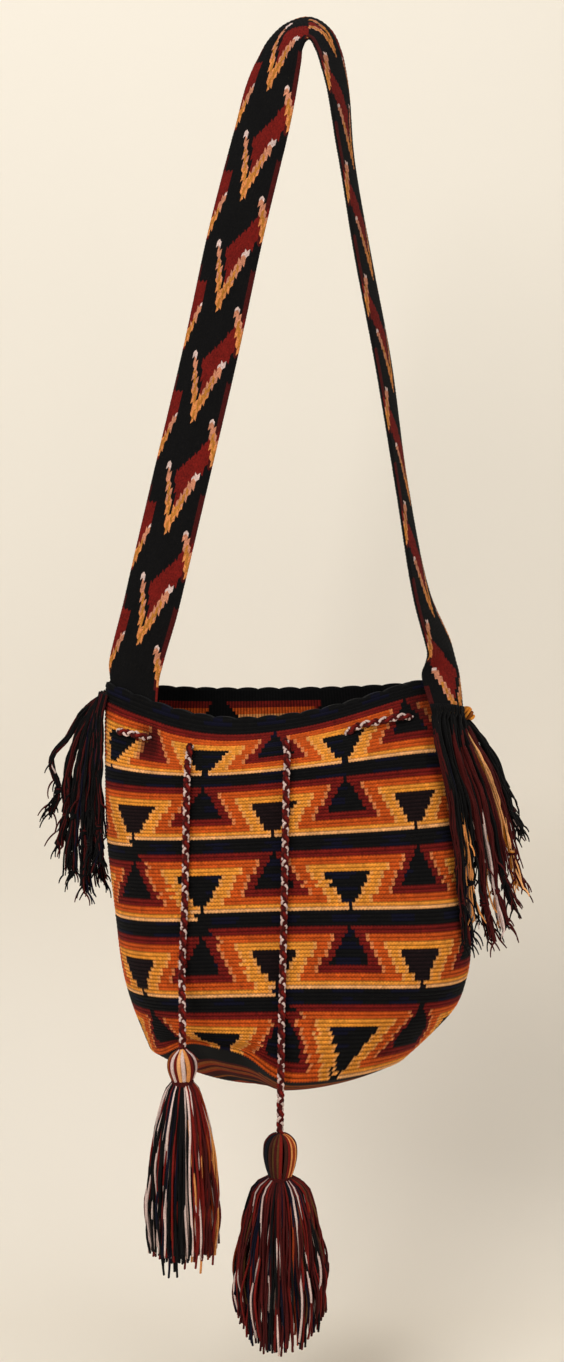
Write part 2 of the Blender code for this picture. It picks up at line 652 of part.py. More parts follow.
def across_strap(lines):
    """Places across the outer face from edge to edge, then back across the inner face."""
    half = STRAP_WIDTH / 2
    return [-q for q in reversed(lines[1:])] + lines, [half * share for share in (1, 0.5, 0, -0.5, -1)]


def strap_section(place, normal, width_way, lines):
    """The free strap's section, with its long edges curled back."""
    section = []
    for places, side in zip(across_strap(lines), (1, -1)):
        for q in places:
            curl = STRAP_CURL * (2 * q / STRAP_WIDTH) ** 2
            section.append(place + width_way * q + normal * (side * STRAP_THICKNESS / 2 - curl))
    return section


def lapped_section(u_middle, way, row, inside, lines):
    """The strap's section where it lies on the wall, over its outer face or behind its inner one."""
    length = np.sum(np.linalg.norm(np.diff(WALL_FACE.ring(max(row, 0))[1], axis=0), axis=1))
    near = LAP_CLEARANCE if inside else CORNER_CLEARANCE
    far = near + STRAP_THICKNESS
    section = []
    for places, stand in zip(across_strap(lines), (near, far) if inside else (far, near)):
        for q in places:
            section.append(WALL_FACE.seat(u_middle + way * q / length, row, stand, inside))
    return section


def strap():
    stand = LAP_CLEARANCE + STRAP_THICKNESS / 2
    left = [WALL_FACE.seat(LEFT_END, row, stand, inside=True) for row in (TUCK_ROWS, 1.0, -1.5)]
    right = [WALL_FACE.seat(RIGHT_END, row, stand) for row in (-1.5, 2.0, 5.5, LAP_ROWS)]
    turn_left, turn_right = STRAP_ROUTE[0][3] - 4, STRAP_ROUTE[-1][3] + 12
    route = [(*p, turn_left) for p in left] + list(STRAP_ROUTE) + [(*p, turn_right) for p in right]
    fine = route_points(route, 0.002)
    travel = np.concatenate([[0], np.cumsum(np.linalg.norm(np.diff(fine[:, :3], axis=0), axis=1))])
    crown = travel[np.argmax(fine[:, 2])]
    stations = np.array(strap_stations(-crown, travel[-1] - crown))
    places, normals, width_ways = strap_frame(fine)
    rings = []
    for station in stations:
        at = [np.interp(station + crown, travel, column) for column in places.T]
        normal = np.array([np.interp(station + crown, travel, column) for column in normals.T])
        across = np.array([np.interp(station + crown, travel, column) for column in width_ways.T])
        lines = strap_lines(station)
        free = strap_section(np.array(at), normal, across, lines)
        from_left, from_right = station + crown, travel[-1] - crown - station
        left_row, right_row = TUCK_ROWS - from_left / ROW_HEIGHT, LAP_ROWS - from_right / ROW_HEIGHT
        if from_left < from_right:
            share = np.clip(-left_row * ROW_HEIGHT / END_BLEND, 0, 1)
            laid = lapped_section(LEFT_END, -1, max(left_row, -8), True, lines) if share < 1 else free
        else:
            share = np.clip(-right_row * ROW_HEIGHT / END_BLEND, 0, 1)
            laid = lapped_section(RIGHT_END, 1, max(right_row, -8), False, lines) if share < 1 else free
        share = share * share * (3 - 2 * share)
        rings.append([a * share + b * (1 - share) for a, b in zip(free, laid)])
    mesh, faces = skin(rings, start="cap", end="cap")
    colours = ["black", "maroon", "salmon"]
    for strip, before, after in zip(faces, stations, stations[1:]):
        for j, face in enumerate(strip):
            face.material_index = colours.index(strap_colour((before + after) / 2, j))
    return finish("strap", mesh, colours)


def strap_colour(distance, column):
    """The colour of one face of the strap, by its distance from the crown and its column."""
    if column > 9:
        return "black"
    column = column - 5 if column > 4 else 4 - column
    to_point, to_edge_point = to_points(distance)
    if column in (1, 3):
        return "salmon" if (to_point if column == 1 else to_edge_point) < STRAP_REPEAT * 2 / 3 else "black"
    return "black" if column == 2 else "maroon"


def bundle(name, u, row, places):
    """A yarn bundle that leaves the wall's face and falls to its tip, with a knot and a frayed end."""
    normal = WALL_FACE.normal(u, row)
    root = WALL_FACE.seat(u, row, BUNDLE_RADIUS + LAP_CLEARANCE)
    lean = (places[0] - root).dot(normal) / math.dist(places[0], root)
    top = root - normal * BUNDLE_RADIUS * (1 - math.sqrt(1 - lean**2))  # its cut end tips with it
    return cord_curve(name, [top, *places], BUNDLE_WIDTHS, "black", 2 * BUNDLE_RADIUS, 1)


def fringes():
    length = np.sum(np.linalg.norm(np.diff(WALL_FACE.ring(LAP_ROWS)[1], axis=0), axis=1))
    below = LAP_ROWS + (LAP_CLEARANCE + BUNDLE_RADIUS) / ROW_HEIGHT
    for k, (share, *places) in enumerate(LEFT_FRINGE):
        bundle(f"fringe_left_{k + 1}", LEFT_FRINGE_U - share * STRAP_WIDTH / length, LEFT_FRINGE_ROW, places)
    for k, (share, *places) in enumerate(RIGHT_FRINGE):
        bundle(f"fringe_right_{k + 1}", RIGHT_END + share * STRAP_WIDTH / length, below, places)


def carry(holder, *pieces):
    for piece in pieces:
        piece.parent = holder
        piece.matrix_parent_inverse = holder.matrix_world.inverted()


def pivot(name, place, *pieces):
    """An empty on a joint's axis, which carries the pieces that swing about it."""
    empty = bpy.data.objects.new(name, None)
    empty.empty_display_size = 0.02
    bpy.data.collections["crochet_bag"].objects.link(empty)
    empty.matrix_world = Matrix.Translation(place)
    carry(empty, *pieces)
    return empty


def main():
    for obj in list(bpy.data.objects):
        bpy.data.objects.remove(obj, do_unlink=True)
    for name in ("crochet_bag", "cutters"):
        collection = bpy.data.collections.new(name)
        bpy.context.scene.collection.children.link(collection)
    body = bag_body()
    strap()
    path, crossings = rim_cord_path()
    cut_eyelets(body, path, crossings)
    cord_curve("drawcord_rim", path)
    for side, size, rim_end, laid, free in (
        ("left", LEFT_TASSEL, (path[-2], path[-1]), LEFT_LAID, LEFT_FREE),
        ("right", RIGHT_TASSEL, (path[1], path[0]), RIGHT_LAID, RIGHT_FREE),
    ):
        cord, top, tip = free_cord(side, rim_end, laid, free)
        pieces, middle = tassel(side, size, tip)
        tassel_pivot = pivot(f"{side}_tassel_pivot", middle, *pieces)
        pivot(f"{side}_cord_pivot", top, cord, tassel_pivot)
    fringes()


main()
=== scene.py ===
"""Looks of a crochet crossbody bag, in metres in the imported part's frame: +Z up, the front facing -Y.

The wall, the strap, the cords, the tassels and the fringes are made of yarn here, each over the solid that
it replaces. Rows of crochet are counted down from the rim, stitches round the bag from its front's middle.
"""

import math

import bpy
import numpy as np
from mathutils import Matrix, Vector


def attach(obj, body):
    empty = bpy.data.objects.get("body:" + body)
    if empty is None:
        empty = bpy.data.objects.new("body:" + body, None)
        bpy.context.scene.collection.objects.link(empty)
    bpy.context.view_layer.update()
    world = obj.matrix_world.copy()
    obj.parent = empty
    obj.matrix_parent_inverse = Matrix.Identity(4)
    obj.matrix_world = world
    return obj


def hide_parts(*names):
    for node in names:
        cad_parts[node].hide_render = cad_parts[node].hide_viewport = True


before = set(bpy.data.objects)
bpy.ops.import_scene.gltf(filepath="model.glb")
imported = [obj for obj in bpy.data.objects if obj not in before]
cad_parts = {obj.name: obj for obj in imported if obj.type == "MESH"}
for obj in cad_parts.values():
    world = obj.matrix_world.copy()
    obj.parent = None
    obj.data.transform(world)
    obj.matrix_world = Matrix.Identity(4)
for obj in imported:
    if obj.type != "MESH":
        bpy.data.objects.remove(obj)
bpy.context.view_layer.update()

# The crochet
ROW_HEIGHT = 0.00295
RIM_ROWS = 4
BAND_ROWS = 16
STRIPE_ROWS = 4
LAST_BAND_ROWS = 18  # rounds of the lowest band, which is taller than the others
LAST_BAND = 84  # the row at which it starts
WALL_PARTS = (0, 42, 82, LAST_BAND + LAST_BAND_ROWS)  # rows at which the wall's three pieces meet
FOOT_ROW = 100  # where the wall's form ends and the base begins
HALF_REPEAT = 21
REPEATS = 6
STITCHES = 2 * HALF_REPEAT * REPEATS
FIRST_TRIANGLE = -21.7
# How far the pattern has moved on round the bag at a row, in stitches to the right
PATTERN_LEAN = ((0, -0.9), (14, -1.1), (34, -2.2), (54, -3.7), (74, -5.4), (84, -3.2), (102, 1.6))
# The fold where the cord gathers the top band's left: its two sides, and the stitches hidden in it
FOLD = (-45.0, -38.5)
HIDDEN = 10.0
# Shadows down in the folds: middle stitch, half width, middle row, half height, share of light lost
FOLD_SHADOWS = ((-41.5, 3.2, 10.0, 5.0, 0.72), (46.0, 5.5, 7.0, 4.5, 0.62))
TRIANGLE_HALF = 10.1  # half width, in stitches, to which a hanging triangle's sides run at the band's top
LAST_TRIANGLE_HALF = 11.0
TRIANGLE_SLOPE = 0.61
FIELD = 4
# Half width of the standing triangle at each row of a band
STANDING = (0.7, 0.9, 1.5, 2.1, 2.8, 3.3, 4.0, 4.6, 5.2, 5.5)
SEAM_ROW = 62  # the row at which the rounds' seam passes the first triangle
SEAM_LEAN = 1.05  # stitches that the seam moves on by, a row

# The wall's form, as the part has it
WALL = 0.0030
RIM_HEIGHT = -0.5287
BAG_HALF_WIDTH = 0.1432
BELLY_DEPTH = 0.088
BACK_DEPTH = 0.050
FRONT_CURVE = 2.3
BACK_CURVE = 3.0
BASE_CURVE = 2.0
HANG_CURVE = 4.0
BACK_HANG = -0.0080
BACK_HANG_ROWS = 20
BASE_SAG = 0.026
RING_PLACES = 721  # points that a ring of the wall is worked out at
BASE_STEPS = 34  # rounds from the wall's foot to the base's middle
# The yarns of the base's outer rounds, then of those nearer its middle, four rounds each
BASE_ROUNDS = "black black dusk brown tan tan wine tan rust wine tan rust wine wine brown tan".split()
MIDDLE_ROUNDS = ("dusk", "rust", "wine", "tan")
# Row, then half width, front depth and back depth as shares of the sizes above, the middle's x, height above
# RIM_HEIGHT, the ring's rise to the right, how far the front's middle hangs, and the front's own rise
STATIONS = (
    (0, 0.967, 0.27, 0.92, -0.0248, 0.0046, 0.009, -0.0256, 0.105),
    (4, 0.972, 0.33, 0.93, -0.0243, 0.0042, 0.017, -0.0245, 0.125),
    (12, 0.980, 0.47, 0.95, -0.0236, 0.0036, 0.030, -0.0145, 0.110),
    (20, 0.983, 0.57, 0.97, -0.0228, 0.0034, 0.038, -0.0055, 0.065),
    (40, 0.993, 0.69, 1.00, -0.0200, 0.0064, 0.038, 0.0010, 0.010),
    (60, 0.986, 0.80, 1.00, -0.0145, 0.0058, 0.018, 0.0055, 0.005),
    (80, 0.950, 0.905, 1.00, -0.0112, 0.0058, 0.010, 0.0075, 0.0),
    (88, 0.895, 0.94, 1.00, -0.0125, 0.0070, 0.005, 0.0065, 0.0),
    (94, 0.815, 0.97, 0.97, -0.0180, 0.0080, -0.010, 0.0020, 0.0),
    (100, 0.715, 0.99, 0.88, -0.0256, 0.0075, -0.030, -0.0040, 0.0),
)
# Across the inside of the back wall, where it is lit and its colours show; elsewhere the inside is painted
# black as shade
LIT_PATCHES = ((-0.1224, -0.0811), (-0.0670, 0.0107))
# Creases: share of the way round, row, spread round and in rows, how deep and how far they draw the wall up
GATHER = (-0.168, 10.0, 0.022, 4.5, 0.007, 0.0)
FOOT_CREASE = (-0.098, 100.0, 0.082, 5.0, 0.007, 0.018)

# The relief of a stitch: its height above the wall's line at its edge and at its middle, at each step down it
STITCH_STEPS = (0.0, 0.30, 0.66)
STITCH_EDGE = (-0.00060, 0.00000, 0.00012)
STITCH_MIDDLE = (-0.00050, 0.00038, 0.00048)
STITCH_SHADE_AND_HIGHLIGHT = (0.46, 1.10, 0.90)  # painted shade and highlight: the colour is darkened down in the groove between two rows and lightened across a stitch's middle
STITCH_WOBBLE = 0.00008
STITCH_DROP = 0.00075  # how far the middle of a stitch reaches down into the row below
EYELET_DIMPLE = 0.0022  # how far the wall gives way round the cord, then over how many stitches and rows
DIMPLE_STITCHES = 1.7
DIMPLE_ROWS = 1.3
SCALLOP = 0.0016  # height of the shells along the rim, then the stitches in one
SCALLOP_STITCHES = 7
STITCH_GAP_SHADE = 0.94  # painted shade: the colour is darkened in the groove between two stitches of a row
# Painted shade between the ribs of the inner face: every other half stitch is darkened
INNER_GAP_SHADE = 0.45
CAUGHT_LIGHT = 0.38  # painted highlight: share of peach blended into the last stitch of a run of light yarn

# The drawcord
CORD_DIAMETER = 0.0060
CORD_CLEARANCE = 0.0011
EYELET_ROW = 10
EYELETS = (6, 21, 41, 70, 88, 107, 126, 145, 165, 200, 210, 220)
CROSSING = 0.0150
EXIT_SHIFT = 4.4  # stitches from the first and last eyelets to where the free ends hang
BRAID_TURN = 0.0145  # length of cord in which a strand goes once round it
BRAID_YARNS = ("pale", "wine", "maroon", "pale")
BRAID_STRAND = 0.42  # a strand's radius as a share of the cord's
# Where the free ends lie on the wall: x, row and gap from it, then where they hang clear of it
LEFT_LAID = ((-0.0946, 14, 0.0008), (-0.0950, 24, 0.0008), (-0.0953, 40, 0.0008), (-0.0956, 58, 0.0010),
             (-0.0960, 74, 0.0035))
LEFT_FREE = ((-0.0962, -0.1000, -0.7760), (-0.0962, -0.1010, -0.7930))
RIGHT_LAID = ((-0.0184, 14, 0.0008), (-0.0190, 24, 0.0014), (-0.0198, 40, 0.0012), (-0.0207, 58, 0.0010),
              (-0.0218, 76, 0.0010), (-0.0226, 88, 0.0010))
RIGHT_FREE = ((-0.0232, -0.0940, -0.8080), (-0.0236, -0.0948, -0.8340), (-0.0238, -0.0950, -0.8560))

# The tassels
LEFT_TASSEL = dict(head=0.0112, head_length=0.0230, neck=0.0075, skirt=0.1270, wide=0.0285, deep=0.0250)
RIGHT_TASSEL = dict(head=0.0126, head_length=0.0330, neck=0.0085, skirt=0.1210, wide=0.0370, deep=0.0300)
# How wide each skirt is on its way down, both as shares
SKIRT_STATIONS = {
    "left": ((0.03, 0.40), (0.12, 0.55), (0.30, 0.78), (0.54, 0.94), (0.72, 1.0), (1.0, 0.93)),
    "right": ((0.02, 0.38), (0.075, 0.58), (0.26, 0.76), (0.39, 0.84), (0.53, 0.91), (0.72, 1), (1, 0.96)),
}
SKIRT_STRANDS = 330
SKIRT_STRAND = 0.00088  # a strand's radius
# The yarns of a skirt's strands, each with the chance up to which it is picked; the left has a dark side
SKIRT_YARNS = {
    "left": ((0.17, "pale"), (0.66, "maroon"), (0.78, "rust"), (0.88, "salmon"), (1, "wine")),
    "dark": ((0.17, "pale"), (0.72, "black"), (0.84, "navy"), (1, "maroon")),
    "right": ((0.12, "pale"), (0.42, "maroon"), (0.74, "wine"), (0.85, "black"), (0.91, "navy"),
              (0.96, "olive"), (1, "rust")),
}
# The loops of each head, round from its front towards the right
HEAD_YARNS = {
    "left": "pale salmon maroon wine pale maroon rust black maroon pale maroon maroon salmon pale wine tan "
            "maroon pale maroon peach",
    "right": "olive maroon brown maroon salmon rust salmon maroon wine maroon wine rust maroon black maroon "
             "wine black navy wine black navy wine maroon wine black navy black brown olive wine",
}
HEAD_LOOP = {"left": 0.0017, "right": 0.0014}  # radius of a loop's yarn
HEAD_OPEN = {"left": 0.0026, "right": 0.0}  # how far the loops rise round the cord's end

# The strap
STRAP_WIDTH = 0.0500
STRAP_THICKNESS = 0.0035
STRAP_CURL = 0.0040
TUCK_ROWS = 3.5
LAP_ROWS = 9.5
LEFT_END = -0.198
RIGHT_END = 0.226
LAP_CLEARANCE = 0.0006
CORNER_CLEARANCE = 0.0028
STRAP_REPEAT = 0.0910
LEFT_POINT = 0.1620
RIGHT_POINT = 0.1310
STRAP_ARM = 0.0064  # width of a V's arm, then how fast the arms spread on their way up
STRAP_ARM_SLOPE = 0.28
RIGHT_LEAN, LEFT_LEAN = 0.78, 1.16  # shares of that slope for the two arms of a V
EDGE_ARM_SLOPE = 0.25
EDGE_ARM = 0.038  # how far up the strap an arm at its edge runs
END_BLEND = 0.0300
BUNCHED = 0.30  # share of its width that the strap loses where it bears on what it hangs from
BUNCHED_LENGTH = 0.045
STRAP_COLUMNS = 25
STRAP_STITCH = 0.0026
STRAP_SLANT = 0.0011
# The strap's route from its left end over the crown, in mm, and how far it is turned to the front, in degrees
STRAP_ROUTE = (
    (-126.4, -15, -459.2, 66), (-106, -12, -371.2, 67), (-80, -9, -259.2, 66), (-59.6, -6, -163.2, 66),
    (-40, -3, -83.2, 63), (-27.2, -1, -30, 58), (-21.5, 0, -13.5, 52), (-12.5, 0, -2.5, 47), (0, 0, 1.75, 44),
    (10, 0, -4, 40), (17, -0.5, -17, 34), (22.5, -1, -37, 27), (31.2, -2, -100.8, 16), (45.6, -5, -187.2, 17),
    (60, -8, -264, 17), (76, -11, -372.8, 12), (91.5, -14, -456, 18),
)

# The fringes
BUNDLE_RADIUS = 0.0027
BUNDLE_WIDTHS = (1.0, 1.05, 1.25, 1.20, 1.50, 1.20)  # at each point, in radii: the fifth is the knot
LEFT_FRINGE_U = -0.258
LEFT_FRINGE_ROW = 2.5
# Each bundle's share of the strap's width from its middle, then the points that it runs through, in mm
LEFT_FRINGE = (
    (-0.36, (-167, -9, -550), (-167.5, -9, -575), (-169, -9, -605), (-168, -9, -639), (-167, -9, -671)),
    (-0.24, (-170.5, -3, -552), (-172, -3, -579), (-173.5, -3, -611), (-175, -3, -653), (-177.5, -3, -682)),
    (-0.12, (-173, 3, -555), (-177.5, 3, -585), (-181, 3, -617), (-181.5, 3, -645), (-181.5, 4, -698)),
    (0.00, (-176, 9, -553), (-183, 9, -577), (-187, 9, -604), (-190, 9, -633), (-193.5, 10, -686)),
    (0.12, (-178, 15, -551), (-188.5, 15, -572), (-195, 15, -593), (-197, 15, -631), (-204.5, 16, -662)),
    (0.24, (-182, 22.5, -548), (-195, 21, -569), (-210, 21, -589), (-204, 21, -614), (-213, 21, -635)),
    (0.36, (-177, 28, -559), (-181, 27, -590), (-178.5, 27, -622), (-173.5, 27, -660), (-168.5, 27, -694)),
)
RIGHT_FRINGE = (
    (-0.42, (99.6, -39, -569), (109, -39, -607), (114.5, -38, -650), (118.5, -37, -696), (124, -37, -731)),
    (-0.28, (106.3, -34, -571), (118, -33, -614), (123, -32, -650), (125.5, -31, -680), (130, -31, -713)),
    (-0.14, (112.3, -29, -572), (125, -27, -614), (133, -26, -655), (136.2, -25, -697), (144, -25, -731)),
    (0.00, (117.6, -23, -570), (132, -21, -610), (141, -20, -652), (146.5, -19, -689), (156, -19, -723)),
    (0.14, (123, -17, -569), (138, -15, -608), (148, -14, -648), (153.5, -13, -678), (163, -13, -708)),
    (0.28, (126.9, -10, -567), (143, -9, -597), (153.5, -8, -630), (160.5, -7, -660), (170, -7, -692)),
    (0.42, (129.4, -2, -562), (143, -1, -582), (153.5, -1, -606), (161.5, -1, -628), (172, -1, -650)),
)
FRINGE_STRANDS = 40
FRINGE_STRAND = 0.00078  # a strand's radius
KNOT_YARN = 0.0012  # radius of the yarn of a knot
TIED = "fringe_right_6"  # the bundle with a gold knot at its root
THIN = "fringe_left_6"  # the bundle that loops out alone
# The yarns of each bundle, in the same order: its sectors from its right, by its front, round to its back.
# Two names are a yarn that gives way to another half way down
LEFT_YARNS = (
    "black black wine black navy",
    "black black black wine black",
    "black wine black black navy",
    "black black black wine black",
    "wine black black wine black",
    "black wine black black black",
    "black black wine black navy",
)
RIGHT_YARNS = (
    "black wine black black navy",
    "black black/salmon black/pale black black",
    "wine wine black black black",
    "wine wine/pale wine/salmon black wine",
    "wine black wine black wine",
    "wine peach gold wine wine",
    "black black wine black black",
)

# Yarn colours, as sRGB
YARN = dict(
    black="0b0a0a", dusk="180c0d", navy="0b0b1c", wine="43100e", maroon="6a150f", brown="3a1a12",
    olive="54361a", tan="87481b", rust="8c3414", ochre="b0702c", orange="c04e16", gold="e08c30",
    salmon="dc8f4e", copper="cf8148", rose="bd7c5e", peach="e6a468", pale="cdb2a8",
)
FIBRE = 0.0011  # size of the fibres that break up a yarn's colour

# The material slot of each kind of yarn
SLOTS = dict(
    crochet="crochet_wall", strap="woven_strap", cord="drawcord_yarn",
    tassel="tassel_yarn", binding="binding_yarn", fringe="fringe_yarn",
)

# The studio
PALE = (0.82, 0.76, 0.66, 1)
FLOOR = -1.078
BACKDROP = 0.45  # how far behind the strap's crown the backdrop stands
BACKDROP_BEND = 0.35
LAMPS = (
    ("key", (-1.1, -1.6, 0.6), 1.2, 30),
    ("fill", (1.5, -1.3, -0.3), 1.6, 10),
    ("top", (0.1, -0.1, 1.4), 1.2, 10),
)
LAMPS_AIM = Vector((0, 0, -0.55))
CAMERA_PLACE = (-0.0224, -1.36, -0.4512)
LENS = 44.9
CAMERA_SHIFT = -91 / 1362


def linear(code):
    """An sRGB colour code as linear values."""
    values = np.array([int(code[k : k + 2], 16) / 255 for k in (0, 2, 4)])
    return np.where(values <= 0.04045, values / 12.92, ((values + 0.055) / 1.055) ** 2.4)


def unit(vectors):
    """Vectors, one or in rows, at length 1."""
    return vectors / np.linalg.norm(vectors, axis=-1, keepdims=True)


def read_at(x, xs, columns):
    """Each column of values, given at `xs`, read at `x`."""
    return np.stack([np.interp(x, xs, column) for column in np.transpose(columns)], axis=-1)


def quads(index):
    """Faces between rows of point numbers, each row closed on itself."""
    right = np.roll(index, -1, axis=1)
    return np.stack([index[:-1], index[1:], right[1:], right[:-1]], axis=-1)


def dyed(shade, spread, chance, size=None):
    """A colour made a little lighter or darker by chance."""
    return np.clip(shade * (1 + spread * chance.standard_normal(size)), 0, 1)


def ripple(steps, slow, fast, chance):
    """A wave along a strand, of between `slow` and `fast` turns."""
    return np.sin(math.tau * (steps * chance.uniform(slow, fast) + chance.random()))


def add_object(name, data):
    obj = bpy.data.objects.new(name, data)
    bpy.context.scene.collection.objects.link(obj)
    return obj


def put(node, **values):
    """Sets inputs of a shader node; _ stands for a space in an input's name."""
    for name, value in values.items():
        node.inputs[name.replace("_", " ")].default_value = value
    return node


def add_node(nodes, kind, **values):
    return put(nodes.new(f"ShaderNode{kind}"), **values)


def join(owner, *joins):
    for start, output, end, socket in joins:
        owner.node_tree.links.new(start.outputs[output], end.inputs[socket])


def ring_of(radius, angle, height):
    """Points round an upright line."""
    return np.stack([radius * np.cos(angle), radius * np.sin(angle), height], axis=1)


COLOUR = {name: linear(code) for name, code in YARN.items()}
CHANCE = np.random.default_rng(11)
MATERIALS = {}


def smooth_through(xs, ys, x):
    """Cubic through given points, with each slope taken from the points on either side."""
    xs, ys = np.asarray(xs, float), np.asarray(ys, float)
    slopes = np.gradient(ys, xs, axis=0)
    i = int(np.clip(np.searchsorted(xs, x) - 1, 0, len(xs) - 2))
    span = xs[i + 1] - xs[i]
    t = (x - xs[i]) / span
    if t < 0 or t > 1:
        end = 0 if t < 0 else -1
        return ys[end] + slopes[end] * (x - xs[end])
    return (
        (2 * t**3 - 3 * t**2 + 1) * ys[i]
        + (t**3 - 2 * t**2 + t) * span * slopes[i]
        + (3 * t**2 - 2 * t**3) * ys[i + 1]
        + (t**3 - t**2) * span * slopes[i + 1]
    )


def lengths_along(points):
    return np.concatenate([[0], np.cumsum(np.linalg.norm(np.diff(points[:, :3], axis=0), axis=1))])


def resample(points, step):
    """Points about `step` apart on a smooth curve through given ones."""
    points = np.asarray(points, float)
    along = lengths_along(points)
    count = max(2, round(along[-1] / step) + 1)
    return np.array([smooth_through(along, points, x) for x in np.linspace(0, along[-1], count)])


RINGS = {}


def wall_ring(row, inset=0.0):
    """One ring of the wall: the share of the way round, and the point, at many places from the back."""
    key = (round(row, 4), inset)
    if key in RINGS:
        return RINGS[key]
    rows = [station[0] for station in STATIONS]
    station = smooth_through(rows, [s[1:] for s in STATIONS], row)
    half, front, back, middle, height, tilt, lift, skew = station
    half = half * BAG_HALF_WIDTH - inset
    front = front * BELLY_DEPTH - inset
    back = back * BACK_DEPTH - inset
    round_off = np.clip((row - rows[-4]) / (rows[-1] - rows[-4]), 0, 1)
    angle = np.linspace(-math.pi, math.pi, RING_PLACES)
    across, along = np.sin(angle), np.cos(angle)
    power = np.where(along > 0, FRONT_CURVE, BACK_CURVE) * (1 - round_off) + BASE_CURVE * round_off
    depth = np.where(along > 0, front, back)
    x = half * np.sign(across) * np.abs(across) ** (2 / power)
    y = -depth * np.sign(along) * np.abs(along) ** (2 / power)
    hang = np.clip(-y / front, 0, 1) ** HANG_CURVE
    back_hang = BACK_HANG * max(0, 1 - row / BACK_HANG_ROWS) * np.clip(y / back, 0, 1) ** BACK_CURVE
    z = RIM_HEIGHT - row * ROW_HEIGHT + height + tilt * x + lift * hang + skew * x * hang**0.5 + back_hang
    points = np.stack([x + middle, y, z], axis=1)
    share = lengths_along(points)
    share /= share[-1]
    for (u, crease_row, spread, rows_wide, deep, raised), flat in ((GATHER, 2), (FOOT_CREASE, 4)):
        near = np.exp(-(np.abs((share - 0.5 - u) / spread) ** flat) - ((row - crease_row) / rows_wide) ** 2)
        inwards = unit(np.array([middle, 0, 0]) - points * (1, 1, 0))
        points += near[:, None] * (deep * inwards + np.array([0, 0, raised]))
    share = lengths_along(points)
    RINGS[key] = share / share[-1], points
    return RINGS[key]


def wall_points(u, row, inset=0.0):
    return read_at((np.asarray(u) + 0.5) % 1.0, *wall_ring(row, inset))


def wall_normals(u, row):
    u = np.asarray(u)
    round_way = wall_points(u + 0.004, row) - wall_points(u - 0.004, row)
    down = wall_points(u, row + 1.0) - wall_points(u, row - 1.0)
    return unit(np.cross(down, round_way))


def wall_length(row):
    return lengths_along(wall_ring(row)[1])[-1]


def share_at(x, row):
    share, points = wall_ring(row)
    front = (share > 0.3) & (share < 0.7)
    return np.interp(x, points[front, 0], share[front]) - 0.5


def seat(u, row, out, inside=False):
    """Points that stand `out` from the wall's outer face, or from its inner one."""
    base_row = max(row, 0.5)
    place, normal = wall_points(u, base_row), wall_normals(u, base_row)
    reach = -(WALL + out) if inside else out
    return place + normal * reach + wall_points(u, row) - place


class Yarn:
    """Points, faces and a colour for each face, for one object."""

    def __init__(self):
        self.points, self.faces, self.colours = [], [], []
        self.count = 0

    def add(self, points, faces, colours):
        """`faces` has 4 corners each, the last one -1 on a triangle."""
        self.points.append(np.asarray(points, float).reshape(-1, 3))
        self.faces.append(np.where(faces < 0, -1, faces + self.count))
        self.colours.append(np.reshape(colours, (-1, 3)))
        self.count += len(self.points[-1])

    def grid(self, points, colours, flip=False):
        """Faces over rows of points, each row closed on itself; `colours` is for each face."""
        index = np.arange(points.size // 3).reshape(points.shape[:2])
        faces = quads(index)[..., ::-1] if flip else quads(index)
        self.add(points, faces.reshape(-1, 4), colours)
        return index + self.count - index.size

    def strip(self, faces, colours):
        """More faces between points that are there already."""
        self.faces.append(faces)
        self.colours.append(colours)

    def tube(self, line, radius, colour, sides=6, up=(0, 0, 1.0)):
        """A tube with pointed ends along a line of points. `radius` and `colour` may change along it."""
        line = np.asarray(line, float)
        tangents = unit(np.gradient(line, axis=0))
        side = np.cross(tangents, up)
        side[np.linalg.norm(side, axis=1) < 1e-4] = (1.0, 0, 0)
        side = unit(side)
        turn = math.tau * np.arange(sides)[:, None] / sides
        ring = np.cos(turn) * side[:, None] + np.sin(turn) * np.cross(tangents, side)[:, None]
        radius = np.broadcast_to(radius, len(line))[:, None]
        tips = line[[0, -1]] + tangents[[0, -1]] * radius[[0, -1]] * [[-0.6], [0.6]]
        index = np.arange(len(line) * sides).reshape(len(line), sides)
        right = np.roll(index, -1, axis=1)
        first = np.full(sides, index.size)
        caps = [
            np.stack([first, index[0], right[0], 0 * first - 1], axis=-1),
            np.stack([first + 1, right[-1], index[-1], 0 * first - 1], axis=-1),
        ]
        colour = np.broadcast_to(colour, (len(line), 3))
        self.add(
            np.concatenate([(line[:, None] + radius[:, None] * ring).reshape(-1, 3), tips]),
            np.concatenate([quads(index).reshape(-1, 4), *caps]),
            np.repeat(np.concatenate([colour[:-1], colour[[0, -1]]]), sides, axis=0),
        )

    def build(self, name, material):
        """The object, with its colours as the attribute "yarn"."""
        points, faces, colours = (np.concatenate(part) for part in (self.points, self.faces, self.colours))
        sizes = np.where(faces[:, 3] < 0, 3, 4)
        corners = faces[faces >= 0]
        mesh = bpy.data.meshes.new(name)
        mesh.vertices.add(len(points))
        mesh.vertices.foreach_set("co", points.astype(np.float32).ravel())
        mesh.loops.add(len(corners))
        mesh.loops.foreach_set("vertex_index", corners.astype(np.int32))
        mesh.polygons.add(len(faces))
        mesh.polygons.foreach_set("loop_start", (np.cumsum(sizes) - sizes).astype(np.int32))
        mesh.update(calc_edges=True)
        yarn = mesh.color_attributes.new("yarn", "FLOAT_COLOR", "CORNER")
        shade = np.concatenate([colours, np.ones((len(colours), 1))], axis=1)
        yarn.data.foreach_set("color", np.repeat(shade, sizes, axis=0).astype(np.float32).ravel())
        mesh.validate()
        mesh.shade_smooth()
        mesh.materials.append(material)
        return add_object(name, mesh)


